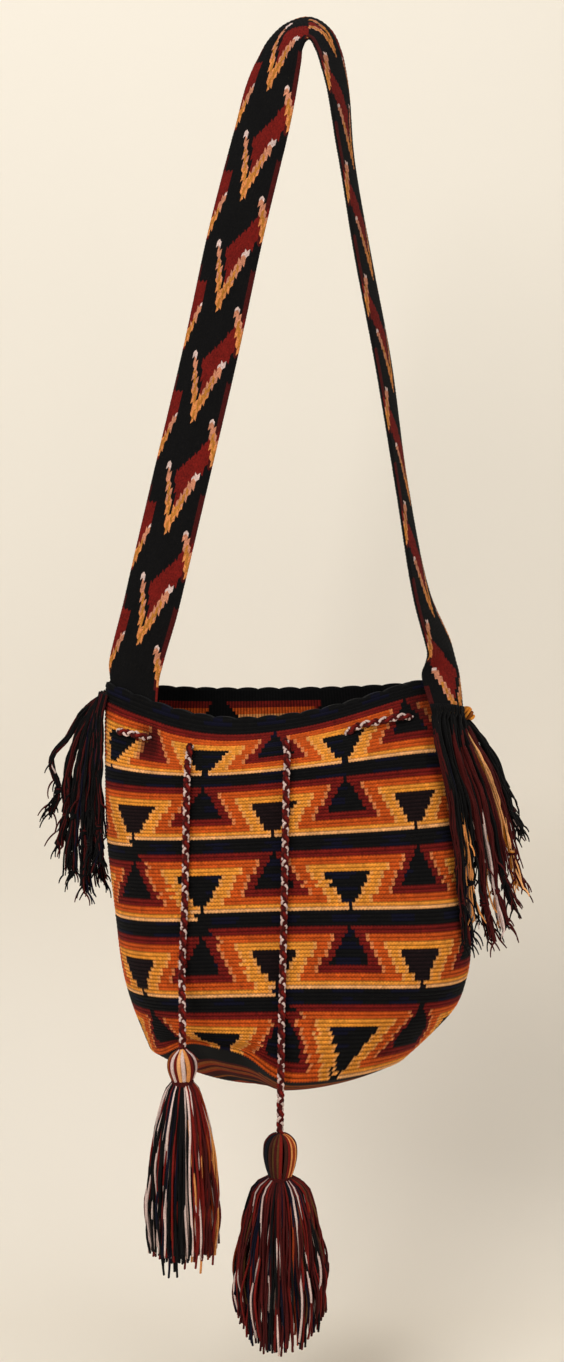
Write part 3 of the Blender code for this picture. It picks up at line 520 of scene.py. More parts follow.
def yarn_material(name):
    """Dyed yarn: the face's own colour, broken up by fibres, with a soft fuzz of light at its edges."""
    made = bpy.data.materials.new(name)
    made.use_nodes = True
    nodes = made.node_tree.nodes
    shader = put(nodes["Principled BSDF"], Roughness=0.9, Specular_IOR_Level=0.08)
    put(shader, Sheen_Weight=0.02, Sheen_Roughness=0.6)
    colour = add_node(nodes, "Attribute")
    colour.attribute_name = "yarn"
    place = add_node(nodes, "TexCoord")
    fibres = add_node(nodes, "TexNoise", Scale=1 / FIBRE, Detail=3.0, Roughness=0.65)
    patches = add_node(nodes, "TexNoise", Scale=60, Detail=2.0)
    tone = add_node(nodes, "MapRange", From_Min=0.25, From_Max=0.75, To_Min=0.62, To_Max=1.30)
    fade = add_node(nodes, "MapRange", From_Min=0.3, From_Max=0.7, To_Min=0.88, To_Max=1.10)
    both = add_node(nodes, "Math")
    both.operation = "MULTIPLY"
    toned = add_node(nodes, "VectorMath")
    toned.operation = "SCALE"
    bump = add_node(nodes, "Bump", Strength=0.35, Distance=0.0006)
    join(
        made,
        (place, "Object", fibres, "Vector"),
        (place, "Object", patches, "Vector"),
        (fibres, "Fac", tone, "Value"),
        (patches, "Fac", fade, "Value"),
        (tone, "Result", both, 0),
        (fade, "Result", both, 1),
        (colour, "Color", toned, 0),
        (both, "Value", toned, "Scale"),
        (toned, "Vector", shader, "Base Color"),
        (fibres, "Fac", bump, "Height"),
        (bump, "Normal", shader, "Normal"),
    )
    return made


def seam_stitch(row):
    """The stitch at which a round meets the one before; it moves on with each row."""
    return FIRST_TRIANGLE + pattern_lean(row) + SEAM_LEAN * (row - SEAM_ROW)


def pattern_lean(row):
    return np.interp(row, *zip(*PATTERN_LEAN))


def past_fold(row, stitch):
    """The stitch of the pattern that shows in the top band, whose left end is gathered and squeezed."""
    if not -STITCHES / 2 <= stitch < FOLD[1]:
        return stitch
    hidden = HIDDEN + 0.3 * max(0, 16 - row)
    shown = stitch - hidden * min(1.0, (FOLD[1] - stitch) / (FOLD[1] - FOLD[0]))
    middle = FIRST_TRIANGLE - 2 * HALF_REPEAT
    return shown if shown > middle else middle + (shown - middle) * 1.6


def band_colour(band, row, stitch, last=False):
    """The yarn at one stitch of a band, by the band's row and the stitches from the front's middle."""
    if band == 0:
        stitch = past_fold(row, stitch)
    wall_row = RIM_ROWS + band * (BAND_ROWS + STRIPE_ROWS) + row
    centre = FIRST_TRIANGLE + (HALF_REPEAT if band % 2 else 0) + pattern_lean(wall_row)
    off = (stitch - centre + HALF_REPEAT) % (2 * HALF_REPEAT) - HALF_REPEAT
    x = abs(off)
    foot = BAND_ROWS if not last else LAST_BAND_ROWS
    half = LAST_TRIANGLE_HALF if last else TRIANGLE_HALF
    step = 2 * (row // 2)
    side = max(0.6, half - TRIANGLE_SLOPE * step)
    hanging = side if off < 0 else max(0.6, half - TRIANGLE_SLOPE * (row + 0.3))
    if row >= foot - 2:
        side = hanging = 0.6
    from_foot = foot - row
    top = ("maroon", "maroon", "orange", "orange", "gold", "gold")
    bottom = {1: "peach", 2: "gold"}.get(from_foot, "orange")
    if x < (hanging if row >= 6 else side):
        return top[row] if row < 6 else "dusk" if band % 2 else "black"
    if x < side + FIELD:
        return top[row] if row < 4 else "peach" if from_foot == 1 else "gold"
    if x < side + 2 * FIELD:
        return top[row] if row < 2 else bottom
    standing = HALF_REPEAT - x < STANDING[min(row, 9)]
    if standing and from_foot > 6:
        return "black"
    return "maroon" if from_foot > 4 else bottom


def stitch_colour(row, stitch):
    """The yarn at a stitch of the wall. Left of the seam the rounds have sunk by two rows."""
    if -STITCHES / 2 <= stitch < seam_stitch(row):
        row -= 2
    elif stitch > 95:
        row -= 1
    if row < RIM_ROWS:
        return "black"
    if row >= LAST_BAND:
        row -= LAST_BAND
        return band_colour(4, row, stitch, True) if row < LAST_BAND_ROWS else "black"
    band, row = divmod(row - RIM_ROWS, BAND_ROWS + STRIPE_ROWS)
    name = "black" if row >= BAND_ROWS else band_colour(band, row, stitch)
    in_fold = band == 0 and row < BAND_ROWS and FOLD[0] - 1 < stitch < FOLD[1] + 3
    return "maroon" if in_fold and name == "black" else name


def inner_colour(row, stitch):
    """The inside: painted black as shade, but for two lit patches of the back wall that show over the front
    of the rim.
    """
    place = wall_points(stitch / STITCHES, row, WALL)
    row -= RIM_ROWS
    if place[1] < 0 or row < 0:
        return "black"
    for first, last in LIT_PATCHES:
        off = abs(2 * (place[0] - first) / (last - first) - 1)
        if off < 1 and row < 7.5 * (1 - off**3):
            if row < 2 or off > 0.88:
                return "maroon"
            return "orange" if row < 4 else "salmon"
    # Everywhere else the inside is black: painted shade
    return "black"


def wall_row(row):
    """Where on the wall's form a round lies: the lowest band has more rounds in the same height."""
    if row <= LAST_BAND:
        return row
    return LAST_BAND + (row - LAST_BAND) * (FOOT_ROW - LAST_BAND) / LAST_BAND_ROWS


def yarn_shades(names, spread=0.10):
    """Linear colours for rows of yarn names, each a little lighter or darker than its neighbours."""
    rows = np.array([[COLOUR[name] for name in row] for row in names])
    return rows * (1 + spread * CHANCE.standard_normal(rows.shape[:2])[..., None])


def catch_light(names, shades):
    """Painted highlight: the last stitch of each run of light yarn, which stands up against the darker yarn
    beside it, is blended towards peach.
    """
    names = np.array(names)
    light = np.isin(names, ("gold", "orange", "peach"))
    for way in (1, -1):
        beside = np.roll(names, way, axis=1)
        ends = light & (names != beside) & ~np.isin(beside, ("gold", "peach"))
        shades[ends] = shades[ends] * (1 - CAUGHT_LIGHT) + COLOUR["peach"] * CAUGHT_LIGHT
    dark = names == "black"
    drift = np.sin(np.arange(names.shape[1]) * 0.37)[None] + np.sin(np.arange(names.shape[0]) * 1.7)[:, None]
    shades[dark & (drift > 0.9)] = COLOUR["navy"]
    return shades


def fold_shadow(first, last, stitch):
    """The share of its light that each stitch keeps, down in the folds at the ends of the top band."""
    row = np.arange(first, last)[:, None]
    shade = np.zeros((last - first, len(stitch)))
    for middle, wide, mid_row, tall, deep in FOLD_SHADOWS:
        shade += deep * np.exp(-(((stitch[None] - middle) / wide) ** 4) - ((row - mid_row) / tall) ** 4)
    return 1 - np.clip(shade, 0, 0.9)


def dimples(row, stitch):
    """How far the wall gives way at each place of a row, round the cord's crossings."""
    depth = np.zeros(len(stitch))
    for eyelet in (EYELETS[0] - EXIT_SHIFT, *EYELETS[1:-1], EYELETS[-1] + EXIT_SHIFT):
        away = (stitch - eyelet + STITCHES / 2) % STITCHES - STITCHES / 2
        depth += np.exp(-((away / DIMPLE_STITCHES) ** 2) - ((row - EYELET_ROW) / DIMPLE_ROWS) ** 2)
    return depth * EYELET_DIMPLE


def stitched_wall(first, last):
    """Rounds `first` to `last` of the wall, every stitch raised, with the plainer inner face behind them."""
    yarn = Yarn()
    places = np.arange(2 * STITCHES) / 2 - STITCHES / 2
    u = places / STITCHES
    middle = np.arange(2 * STITCHES) % 2 == 1
    drop = np.where(middle, -STITCH_DROP, 0)
    points = []
    for row in range(first, last):
        for step, edge_height, middle_height in zip(STITCH_STEPS, STITCH_EDGE, STITCH_MIDDLE):
            at = wall_row(row + step)
            height = np.where(middle, middle_height, edge_height) - dimples(at, places)
            height = height + STITCH_WOBBLE * CHANCE.standard_normal(len(places))
            line = wall_points(u, at) + wall_normals(u, at) * height[:, None]
            line[:, 2] += drop if row + step > 0 else rim_scallop(places)
            points.append(line)
    end = wall_row(last)
    line = wall_points(u, end) - wall_normals(u, end) * 0.0004
    line[:, 2] += drop
    points.append(line)
    stitch = np.arange(STITCHES) + 0.5 - STITCHES / 2
    names = [[stitch_colour(row, s) for s in stitch] for row in range(first, last)]
    # Painted highlights at the ends of runs of light yarn, and painted shadow down in the folds
    shades = catch_light(names, yarn_shades(names)) * fold_shadow(first, last, stitch)[..., None]
    fine = np.repeat(np.repeat(shades, 3, axis=0), 2, axis=1)
    # Painted shade in the grooves between rows and between stitches, and a painted highlight across each
    # stitch's middle
    fine *= np.tile(STITCH_SHADE_AND_HIGHLIGHT, last - first)[:, None, None]
    fine[:, ::2] *= STITCH_GAP_SHADE
    outer = yarn.grid(np.array(points), fine)
    rounds = 1 if first == 0 else 2  # rounds to one cell of the inner face, which is out of sight far down
    rows = range(first, last + 1, rounds)
    inner_points = np.array([wall_points(u, wall_row(row), WALL) for row in rows])
    if first == 0:
        inner_points[0, :, 2] += rim_scallop(places)
    inner_names = [[inner_colour(wall_row(row), s) for s in stitch] for row in rows[:-1]]
    inner_shades = np.repeat(yarn_shades(inner_names), 2, axis=1)
    # Painted shade between the ribs of the inner face
    inner_shades[:, ::2] *= INNER_GAP_SHADE
    inner = yarn.grid(inner_points, inner_shades, flip=True)
    for rings, row in (((inner[0], outer[0]), 0), ((outer[-1], inner[-1]), -1)):
        yarn.strip(quads(np.array(rings))[0], np.repeat(shades[row], 2, axis=0))
    return yarn


def rim_scallop(stitch):
    """How far the rim's shells rise and dip, round the bag."""
    return SCALLOP * (np.abs(np.sin(math.pi * stitch / SCALLOP_STITCHES)) ** 0.7 - 0.55)


def base_colour(step, raised):
    """The yarn of a round of the base, counted in from the wall's foot. Its first two rounds are black yarn;
    where the foot's crease raises the base, more rounds are black as painted shade.
    """
    # Painted shade: up to four more rounds are black where the crease raises the base
    if step < 2 + 4 * raised:
        return "black"
    return BASE_ROUNDS[step] if step < len(BASE_ROUNDS) else MIDDLE_ROUNDS[step // 4 % 4]


def stitched_base():
    """The base: rounds that shrink from the wall's foot to the middle, and a plainer inner face."""
    yarn = Yarn()
    turn = np.arange(STITCHES) / STITCHES
    foot = wall_points(turn - 0.5, FOOT_ROW)
    middle = foot.mean(axis=0)
    raised = [math.exp(-abs(u / FOOT_CREASE[2]) ** 4) for u in turn - 0.5 - FOOT_CREASE[0]]
    for inset, flip, cells in ((0.0, False, 2), (WALL, True, 0.5)):
        count = round(BASE_STEPS * cells)
        points = []
        for k in range(count + 1):
            radius = 1 - k / count * 0.985
            ring = middle + (foot - middle) * (radius, radius, radius**2)
            ring[:, 2] -= BASE_SAG * (1 - radius**2.2) - inset
            if not flip:
                ring[:, 2] -= 0.0004 if k % 2 else -0.0003
            points.append(ring)
        names = [[base_colour(int(k / cells), share) for share in raised] for k in range(count)]
        yarn.grid(np.array(points), yarn_shades(names, 0.05), flip)
    return yarn


def strap_frame(points):
    """Place, face normal and width direction at each point of the strap's route."""
    places, turns = points[:, :3], np.radians(points[:, 3:])
    tangents = unit(np.gradient(places, axis=0))
    normals = np.cos(turns) * np.cross(tangents, (0, 1.0, 0)) + np.sin(turns) * (0, -1.0, 0)
    normals = unit(normals - tangents * np.sum(normals * tangents, axis=1)[:, None])
    return places, normals, np.cross(normals, tangents)


def strap_colour(distance, q, left_length):
    """The yarn of the strap at a distance from the crown, `q` across it from its middle."""
    to_point = ((LEFT_POINT if distance < 0 else RIGHT_POINT) - abs(distance)) % STRAP_REPEAT
    to_edge = (to_point + STRAP_REPEAT / 3) % STRAP_REPEAT
    if to_point - distance > left_length:  # the last V would end below the rim
        to_point = STRAP_REPEAT
    rise = STRAP_REPEAT * 0.65
    in_from_edge = STRAP_WIDTH / 2 - abs(q)
    lean, tall_arm, taper = (RIGHT_LEAN, rise, 0.70) if q > 0 else (LEFT_LEAN, rise * 0.92, 0.40)
    arms = (
        (to_point, abs(q), STRAP_ARM_SLOPE * lean, tall_arm),
        (to_edge, in_from_edge - 0.0015, EDGE_ARM_SLOPE, EDGE_ARM),
    )
    for up, away, slope, tall in arms:
        reach = slope * up
        arm = STRAP_ARM * (1.15 - taper * up / tall)
        if 0.003 < up < tall and reach - arm < away <= reach:
            if up > tall * 0.93:
                return "pale"
            core = 0.3 < (reach - away) / arm < 0.7
            return "ochre" if core and up < tall * 0.75 else "rose" if up > tall * 0.5 else "copper"
    if 0.003 < to_edge < 0.011 and in_from_edge < EDGE_ARM_SLOPE * to_edge + 0.0015:
        return "copper"
    # A maroon band runs up along one arm to the strap's edge, and another up the edge
    left_side, right_side = (STRAP_ARM_SLOPE * to_point * lean for lean in (-LEFT_LEAN, RIGHT_LEAN))
    if left_side < q < min(right_side - 0.0080, 0.0035 - 0.70 * max(0, to_point - 0.052)):
        return "maroon"
    if q > 0 and in_from_edge < EDGE_ARM_SLOPE * min(to_edge, EDGE_ARM) + 0.001 and to_edge < EDGE_ARM * 1.5:
        return "maroon"
    return "wine" if in_from_edge < 0.0030 and to_edge < EDGE_ARM * 1.8 else "black"


def woven_strap():
    """The strap: ribs in its pattern on the outer face, a black reverse, and both ends laid on the wall."""
    stand = LAP_CLEARANCE + STRAP_THICKNESS / 2
    left = [seat(LEFT_END, row, stand, inside=True) for row in (TUCK_ROWS, 1.0, -1.5)]
    right = [seat(RIGHT_END, row, stand) for row in (-1.5, 2.0, 5.5, LAP_ROWS)]
    middle = np.array(STRAP_ROUTE) / (1000, 1000, 1000, 1)
    turn_left, turn_right = middle[0, 3] - 4, middle[-1, 3] + 12
    fine = resample([*((*p, turn_left) for p in left), *middle, *((*p, turn_right) for p in right)], 0.002)
    travel = lengths_along(fine)
    length = travel[-1]
    crown = travel[np.argmax(fine[:, 2])]
    frames = np.concatenate(strap_frame(fine), axis=1)
    count = round(length / STRAP_STITCH)
    pitch = length / count
    half = STRAP_WIDTH / 2
    lines = np.linspace(-half, half, 2 * STRAP_COLUMNS + 1)
    rings = []
    for k in range(2 * count + 1):
        distance = k * pitch / 2
        bunched = 1 - BUNCHED * math.exp(-(((distance - crown) / BUNCHED_LENGTH) ** 2))
        row, u, way, inside = TUCK_ROWS - distance / ROW_HEIGHT, LEFT_END, -1, True
        if distance >= length / 2:
            row, u, way, inside = LAP_ROWS - (length - distance) / ROW_HEIGHT, RIGHT_END, 1, False
        free_share = np.clip(-row * ROW_HEIGHT / END_BLEND, 0, 1)
        free_share = free_share**2 * (3 - 2 * free_share)
        ring = []
        for across, side in ((lines, 1), (lines[::-2], -1)):
            edge = np.round((across / half + 1) * STRAP_COLUMNS).astype(int)
            slant = np.array((1, 0, -1, 0))[edge % 4] * STRAP_SLANT * (0 < k < 2 * count)
            frame_at = read_at(np.clip(distance + slant, 0, length), travel, frames)
            centre, normal, width = np.split(frame_at, 3, axis=1)
            relief = np.where(edge % 2 == 1, 0.00030, -0.00030) + (0.00018 if k % 2 else -0.00012)
            relief = relief + 0.00006 * CHANCE.standard_normal(len(across))
            out = side * (STRAP_THICKNESS / 2 + relief) - STRAP_CURL * (across / half) ** 2
            points = centre + width * (across * bunched)[:, None] + normal * out[:, None]
            if free_share < 1:
                near = (LAP_CLEARANCE if inside else CORNER_CLEARANCE) + STRAP_THICKNESS / 2
                depth = near + (relief + STRAP_THICKNESS / 2) * side * (-1 if inside else 1)
                shares = u + way * across / wall_length(max(row, 0))
                laid = np.array([seat(at, max(row, -8), out, inside) for at, out in zip(shares, depth)])
                points = points * free_share + laid * (1 - free_share)
            ring.append(points)
        rings.append(np.concatenate([ring[0], ring[1][1:-1]]))
    columns = len(rings[0])
    names = []
    for k in range(2 * count):
        distance = (k // 2 + 0.5) * pitch - crown
        cells = [strap_colour(distance, (j + 0.5) / STRAP_COLUMNS * STRAP_WIDTH - half, crown - 0.012)
                 for j in range(STRAP_COLUMNS)]
        names.append(list(np.repeat(cells, 2)) + ["black"] * (columns - 2 * STRAP_COLUMNS))
    yarn = Yarn()
    index = yarn.grid(np.array(rings), yarn_shades(names, 0.12))
    j = np.arange(columns // 2 - 1)
    for end in (index[0][::-1], index[-1]):
        faces = np.stack([end[j], end[j + 1], end[-2 - j], end[-1 - j]], axis=1)
        yarn.strip(faces, np.tile(COLOUR["black"], (len(j), 1)))
    return yarn, length


def frame_along(line):
    """Two directions square to a line at each of its points, that turn as little as they can."""
    tangents = unit(np.gradient(line, axis=0))
    sides = [np.cross(tangents[0], (0.3, 1.0, 0.2))]
    for tangent in tangents:
        sides.append(unit(sides[-1] - tangent * sides[-1].dot(tangent)))
    return np.array(sides[1:]), np.cross(tangents, sides[1:])


def braid(yarn, path):
    """Four strands plaited round a path, two each way, over and under in turn, on a core darkened as painted
    shade.
    """
    fine = resample(path, 0.0013)
    sides, others = frame_along(fine)
    along = lengths_along(fine)
    radius = CORD_DIAMETER / 2
    for k, name in enumerate(BRAID_YARNS):
        way = 1 if k < 2 else -1
        angle = way * math.tau * along / BRAID_TURN + math.pi * (k if way > 0 else k + 0.5)
        out = -way * np.sin(2 * angle)
        reach = radius * (0.52 + 0.19 * out)
        line = fine + reach[:, None] * (np.cos(angle)[:, None] * sides + np.sin(angle)[:, None] * others)
        shade = dyed(COLOUR[name], 0.1, CHANCE, (len(line), 1))
        thick = BRAID_STRAND
        if name == "pale":
            shade[out < 0.0] = COLOUR["wine"]
            thick *= 0.86
        yarn.tube(line, radius * thick, shade, 7, up=(0.31, 0.9, 0.29))
    # The core is maroon at 0.4: painted shade deep in the braid, seen between the strands
    yarn.tube(resample(path, 0.004), radius * 0.5, COLOUR["maroon"] * 0.4, 6, up=(0.31, 0.9, 0.29))


def rim_path():
    """The drawcord's route in and out of the eyelets."""
    length = wall_length(EYELET_ROW)
    half = CROSSING / 2 / length
    stand = CORD_DIAMETER / 2 + CORD_CLEARANCE
    eyelets = [stitch / STITCHES for stitch in EYELETS]
    path = []
    for k, u in enumerate(eyelets):
        inwards = k % 2 == 0
        for t in (-1.0, -0.35, 0.35, 1.0):
            through = 0.5 + (0.75 * t - 0.25 * t**3) * (1 if inwards else -1)
            outer, inner = (seat(u + t * half, EYELET_ROW, stand, inside) for inside in (False, True))
            path.append(outer + (inner - outer) * through)
        if k + 1 < len(eyelets):
            span = eyelets[k + 1] - u - 2 * half
            steps = max(1, round(span * length / 0.017))
            path += [seat(u + half + span * s / steps, EYELET_ROW, stand, inwards) for s in range(1, steps)]
    return np.array(path)


def free_path(rim_end, laid, free):
    """A free end's middle: from beside the rim cord's end, down the wall's face and then straight down."""
    inner, tip = rim_end
    radius = CORD_DIAMETER / 2
    top = tip + unit(tip - inner) * (radius + 0.0009)
    return np.array([top, *(seat(share_at(x, row), row, radius + gap) for x, row, gap in laid), *free])


def yarn_tassel(side, size, tip):
    """Loops over the head, turns of binding at the neck, and a skirt of many loose strands."""
    top = np.array(tip) - (0, 0, 0.0003)
    head, length, neck = size["head"], size["head_length"], size["neck"]
    chance = np.random.default_rng(5 if side == "left" else 8)
    tassel = Yarn()
    # The head's outline: radius and depth below its crown
    crown = (0.18 * head, 0.0004), (head * 0.62, head * 0.14), (head * 0.93, head * 0.48), (head * 1.02, head)
    foot = (head * 0.90, length * 0.72), (neck, length * 0.97)
    outline = resample(np.pad([*crown, *foot], ((0, 0), (0, 1))), 0.0016)
    twist = 0.30 * np.linspace(0, 1, len(outline)) * (1 if side == "left" else -0.4)
    loops, thick = HEAD_YARNS[side].split(), HEAD_LOOP[side]
    for k, name in enumerate(loops):
        a = math.tau * k / len(loops) - math.pi / 2 + 0.05 * chance.standard_normal()
        radius = np.maximum(outline[:, 0] - thick * (0.8 + 0.5 * chance.random()), 0.0006)
        line = top + ring_of(radius, a + twist, -outline[:, 1])
        line[:3, 2] += HEAD_OPEN[side] * chance.uniform(0.4, 1.0) * np.array([1.0, 0.8, 0.3])
        tassel.tube(line, thick, dyed(COLOUR[name], 0.12, chance), 8, up=(math.cos(a), math.sin(a), 0.1))
    shares, widths = zip((0.0, neck / size["wide"]), *SKIRT_STATIONS[side])
    steps = np.linspace(0, 1, 22)
    spread = 0.98 * np.interp(steps, shares, widths)
    for k in range(SKIRT_STRANDS):
        a = math.tau * (k * 0.618034 % 1)
        share = math.sqrt(chance.uniform(0.05, 1.0)) if k % 5 < 2 else 1.0 - 0.10 * chance.random()
        reach = size["skirt"] * (0.93 + 0.07 * chance.random() - 0.16 * max(0, chance.random() - 0.75))
        if side == "right":
            reach *= 1 - 0.17 * abs(math.cos(a)) ** 3
        elif chance.random() < 0.04:
            reach *= 1.11
        wave = 0.0015 * ripple(steps, 0.5, 1.4, chance) * steps**0.5
        wander = 0.0012 * ripple(steps, 0.7, 1.8, chance) * steps**0.5
        out = share * spread * (1 - 0.055 * (1 + ripple(steps, 0.8, 2.2, chance)))
        x = top[0] + out * size["wide"] * math.cos(a) + wave
        y = top[1] + out * size["deep"] * math.sin(a) + wander
        z = top[2] - length * 0.95 - steps * (reach + length * 0.05)
        dark = side == "left" and math.pi < a < 1.62 * math.pi
        pick = chance.random()
        name = next(name for most, name in SKIRT_YARNS["dark" if dark else side] if pick < most)
        line = np.stack([x, y, z], axis=1)
        tassel.tube(line, SKIRT_STRAND, dyed(COLOUR[name], 0.14, chance), 5, up=(1.0, 0.2, 0))
    wound = Yarn()
    a = np.linspace(0, math.tau, 25)
    for turn in range(4):
        z = (turn - 1.5) * 0.0009 + 0.0001 * a - length
        wound.tube(top + ring_of(neck + 0.0003, a, z), 0.0007, COLOUR["wine"])
    return tassel, wound


def tie(yarn, middle):
    """A knot of gold yarn, of six rings."""
    way, side = np.array([0.62, -0.20, -0.76]), np.array([0.76, 0.10, 0.62])
    out = np.cross(way, side)
    a = np.linspace(0, math.tau, 21)[:, None]
    for k, name in enumerate(("gold", "ochre", "gold", "gold", "tan", "gold")):
        wide = 0.0046 * math.sin(math.pi * (k + 1) / 7) ** 0.5
        ring = middle + wide * (np.cos(a) * side + 0.7 * np.sin(a) * out)
        yarn.tube(ring + way * (0.0019 * (k - 2.5) + 0.0012 * np.cos(a + k)), KNOT_YARN, COLOUR[name])


def strand_shades(name, steps, chance):
    """A strand's colour along it: one yarn, or one that gives way to another, with a few pale lengths."""
    upper, _, lower = name.partition("/")
    shade = np.tile(COLOUR[upper], (len(steps), 1))
    if lower:
        shade[steps > chance.uniform(0.42, 0.55)] = COLOUR[lower]
    elif chance.random() < 0.07:
        start = chance.uniform(0.35, 0.85)
        shade[(steps > start) & (steps < start + 0.06)] = COLOUR["pale"]
    return dyed(shade, 0.14, chance)


def yarn_fringe(name, u, row, places, yarns, chance, lap=0.0):
    """One bundle: a core of short strands, loose ones round it, a knot near the end and a curly, frayed tip.
    `lap` is how far the face of the strap that it is sewn to stands from the wall."""
    yarn = Yarn()
    corners = np.array([seat(u, row, BUNDLE_RADIUS + LAP_CLEARANCE), *places])
    route = resample(corners, 0.0045)
    sides, others = frame_along(route)
    steps = lengths_along(route)
    steps = steps / steps[-1]
    corners = lengths_along(corners)
    widths = np.interp(steps, corners / corners[-1], BUNDLE_WIDTHS) * BUNDLE_RADIUS
    if lap:
        widths = widths * np.interp(steps, (0, 0.45, 0.62), (1.25, 1.25, 1.0))
    if name == THIN:
        widths = widths * np.interp(steps, (0, 0.30, 0.45), (1.0, 0.85, 0.6))
    knot = corners[4] / corners[-1]
    for k in range(FRINGE_STRANDS):
        loose = k % 3 == 0
        kept = steps <= (chance.uniform(0.55, 0.9) if loose else chance.uniform(0.93, 1.0))
        s = steps[kept]
        near_knot = np.exp(-(((s - knot) / 0.035) ** 2))
        round_it = chance.uniform(0, math.tau)
        a = round_it + 0.5 * s * chance.standard_normal()
        out = math.sqrt(chance.uniform(0.12, 1.0)) * (widths[kept] - 0.0006)
        if loose and name != THIN:
            out = out * (1 + chance.uniform(0.6, 1.6) * np.clip((s - 0.3) / 0.4, 0, 1))
        else:
            out = out * (1 - 0.55 * near_knot)
        out = out + 0.0048 * np.clip(s - knot - 0.03, 0, 1) / (1.04 - knot) * chance.uniform(-0.3, 1.4)
        kink = 0.0008 * ripple(s, 2, 6, chance) * (1 - near_knot) * (1 + 1.2 * np.clip(s - 0.5, 0, 1))
        line = route[kept] + (out * np.cos(a) + kink)[:, None] * sides[kept]
        line += (out * np.sin(a) + kink * 0.6)[:, None] * others[kept]
        sector = yarns[int(round_it / (math.tau) * len(yarns)) if lap else k % len(yarns)]
        shade = strand_shades(sector, s, chance)
        if lap and sector not in ("gold", "peach"):
            shade[s < chance.uniform(0.04, 0.16)] = COLOUR["black"]
        if lap and loose:  # it starts from the face of the strap
            at = u + 0.0045 * math.cos(round_it) / wall_length(LAP_ROWS)
            starts = ((2.6, 0.0005), (1.7, 0.0009), (1.0, 0.0004))
            over = [seat(at, row - up, lap + rise) for up, rise in starts]
            line = np.concatenate([over, line[1:]])
            shade = np.concatenate([shade[:2], shade])
        if k % 2:
            curl = curly_end(line[-1], line[-1] - line[-3], chance)
            line = np.concatenate([line, curl])
            shade = np.concatenate([shade, np.repeat(shade[-1:], len(curl), axis=0)])
        thin = np.interp(np.arange(len(line)), (len(line) - 6, len(line)), (FRINGE_STRAND, 0.0004))
        yarn.tube(line, thin, shade, 5, up=(0.9, 0.3, 0.1))
    at = read_at(knot, steps, route)
    a = np.linspace(0, math.tau, 17)
    for k in range(3):
        z = 0.0012 * (k - 1) + 0.0009 * np.cos(a + 2 * k)
        yarn.tube(at + ring_of(0.0024, a, z), KNOT_YARN, COLOUR[yarns[k].partition("/")[0]])
    if name == TIED:
        tie(yarn, seat(u + 0.0020 / wall_length(LAP_ROWS), LAP_ROWS + 0.6, lap + 0.0034))
    return yarn


def curly_end(start, way, chance):
    """A short length of untwisted yarn that curls away from where a strand ends."""
    t = np.linspace(0.15, 1, 7)[:, None]
    turn = chance.uniform(-1.9, 1.9)
    size = chance.uniform(0.004, 0.011)
    bend = np.concatenate([np.sin(turn * t), 0.5 * np.sin(turn * t + 1) - 0.42, np.cos(turn * t) - 1], axis=1)
    return start + unit(way) * t * size * 0.7 + bend * size * 0.6


def set_stage():
    """A pale floor that curves up into a backdrop, soft lights and the camera."""
    bend = BACKDROP_BEND
    foot = BACKDROP - bend
    turns = np.linspace(0.1, math.pi / 2, 12)
    curve = [(foot + bend * math.sin(a), FLOOR + bend * (1 - math.cos(a))) for a in turns]
    profile = [(-3.0, FLOOR), (foot, FLOOR), *curve, (BACKDROP, 2.0)]
    mesh = bpy.data.meshes.new("backdrop")
    points = [(x, y, z) for y, z in profile for x in (-4.0, 4.0)]
    mesh.from_pydata(points, [], [(2 * k, 2 * k + 1, 2 * k + 3, 2 * k + 2) for k in range(len(profile) - 1)])
    mesh.shade_smooth()
    paint = bpy.data.materials.new("backdrop")
    paint.use_nodes = True
    nodes = paint.node_tree.nodes
    shader = put(nodes["Principled BSDF"], Base_Color=PALE, Roughness=0.9)
    # The backdrop is clear from behind, so that the bag can be seen from every side
    face, clear, both = (add_node(nodes, kind) for kind in ("NewGeometry", "BsdfTransparent", "MixShader"))
    join(
        paint,
        (face, "Backfacing", both, 0),
        (shader, "BSDF", both, 1),
        (clear, "BSDF", both, 2),
        (both, "Shader", nodes["Material Output"], "Surface"),
    )
    mesh.materials.append(paint)
    add_object("backdrop", mesh)
    for name, place, size, power in LAMPS:
        light = bpy.data.lights.new(name, "AREA")
        light.size = size
        light.energy = power
        lamp = add_object(name, light)
        lamp.location = place
        lamp.rotation_euler = (LAMPS_AIM - lamp.location).to_track_quat("-Z", "Y").to_euler()
    world = bpy.data.worlds.new("studio")
    world.use_nodes = True
    nodes = world.node_tree.nodes
    lit = put(nodes["Background"], Color=(1.0, 0.98, 0.95, 1), Strength=0.38)
    ray, both = (add_node(nodes, kind) for kind in ("LightPath", "MixShader"))
    seen = add_node(nodes, "Background", Color=PALE)
    join(
        world,
        (ray, "Is Camera Ray", both, 0),
        (lit, "Background", both, 1),
        (seen, "Background", both, 2),
        (both, "Shader", nodes["World Output"], "Surface"),
    )
    bpy.context.scene.world = world
    data = bpy.data.cameras.new("camera")
    data.sensor_fit = "VERTICAL"
    data.sensor_height = 36
    data.lens = LENS
    data.shift_y = CAMERA_SHIFT
    camera = add_object("camera", data)
    camera.location = CAMERA_PLACE
    camera.rotation_euler = (math.radians(90), 0, 0)
    bpy.context.scene.camera = camera
    bpy.context.scene.view_settings.view_transform = "Standard"


def place_piece(yarn, name, kind, body, node):
    """Builds a piece with its kind's material and carries it on its body, in the place of its node."""
    piece = yarn.build(name, MATERIALS[kind])
    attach(piece, body)
    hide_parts(node)
    return piece


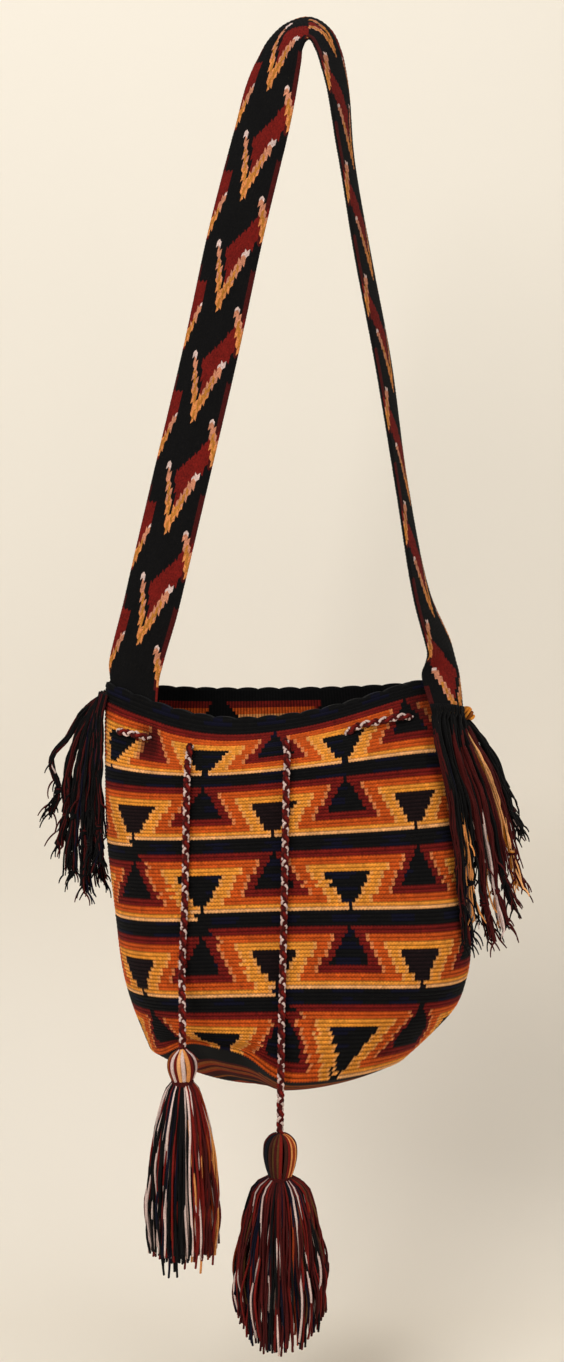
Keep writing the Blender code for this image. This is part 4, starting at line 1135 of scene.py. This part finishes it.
def main():
    set_stage()
    MATERIALS.update({kind: yarn_material(f"{kind}_yarn") for kind in SLOTS})
    for name, first, last in zip(("upper", "middle", "lower"), WALL_PARTS, WALL_PARTS[1:]):
        place_piece(stitched_wall(first, last), f"crochet_{name}", "crochet", "bag", "bag_body")
    place_piece(stitched_base(), "crochet_base", "crochet", "bag", "bag_body")
    ribs, length = woven_strap()
    strap = place_piece(ribs, "woven_strap", "strap", "bag", "strap")
    rim = rim_path()
    cord = Yarn()
    braid(cord, rim[2:-2])
    place_piece(cord, "braided_rim_cord", "cord", "bag", "drawcord_rim")
    for side, size, rim_end, laid, free in (
        ("left", LEFT_TASSEL, (rim[-2], rim[-1]), LEFT_LAID, LEFT_FREE),
        ("right", RIGHT_TASSEL, (rim[1], rim[0]), RIGHT_LAID, RIGHT_FREE),
    ):
        path = free_path(rim_end, laid, free)
        cord = Yarn()
        # Its start is taken back into the wall that it comes out of
        into = -wall_normals(share_at(path[0][0], EYELET_ROW), EYELET_ROW) * CORD_DIAMETER
        route = np.array([path[0] + into * 0.9, path[0] - (0, 0, CORD_DIAMETER * 0.25), *path[1:]])
        braid(cord, route)
        piece = place_piece(cord, f"braided_cord_{side}", "cord", f"{side}_cord", f"drawcord_{side}")
        tassel, wound = yarn_tassel(side, size, path[-1])
        name = f"tassel_{side}"
        place_piece(tassel, f"yarn_{name}", "tassel", f"{side}_tassel", name)
        binding = place_piece(wound, f"yarn_{name}_binding", "binding", f"{side}_tassel", f"{name}_binding")
    length = wall_length(LAP_ROWS)
    chance = np.random.default_rng(21)
    below = LAP_ROWS + (LAP_CLEARANCE + BUNDLE_RADIUS) / ROW_HEIGHT
    for side, middle, row, way, bundles, yarns in (
        ("left", LEFT_FRINGE_U, LEFT_FRINGE_ROW, -1, LEFT_FRINGE, LEFT_YARNS),
        ("right", RIGHT_END, below, 1, RIGHT_FRINGE, RIGHT_YARNS),
    ):
        for k, (share, *places) in enumerate(bundles):
            u = middle + way * share * STRAP_WIDTH / length
            name = f"fringe_{side}_{k + 1}"
            lap = CORNER_CLEARANCE + STRAP_THICKNESS if side == "right" else 0.0
            places = np.array(places) / 1000
            bundle = yarn_fringe(name, u, row, places, yarns[k].split(), chance, lap)
            place_piece(bundle, f"yarn_{name}", "fringe", "bag", name)


main()
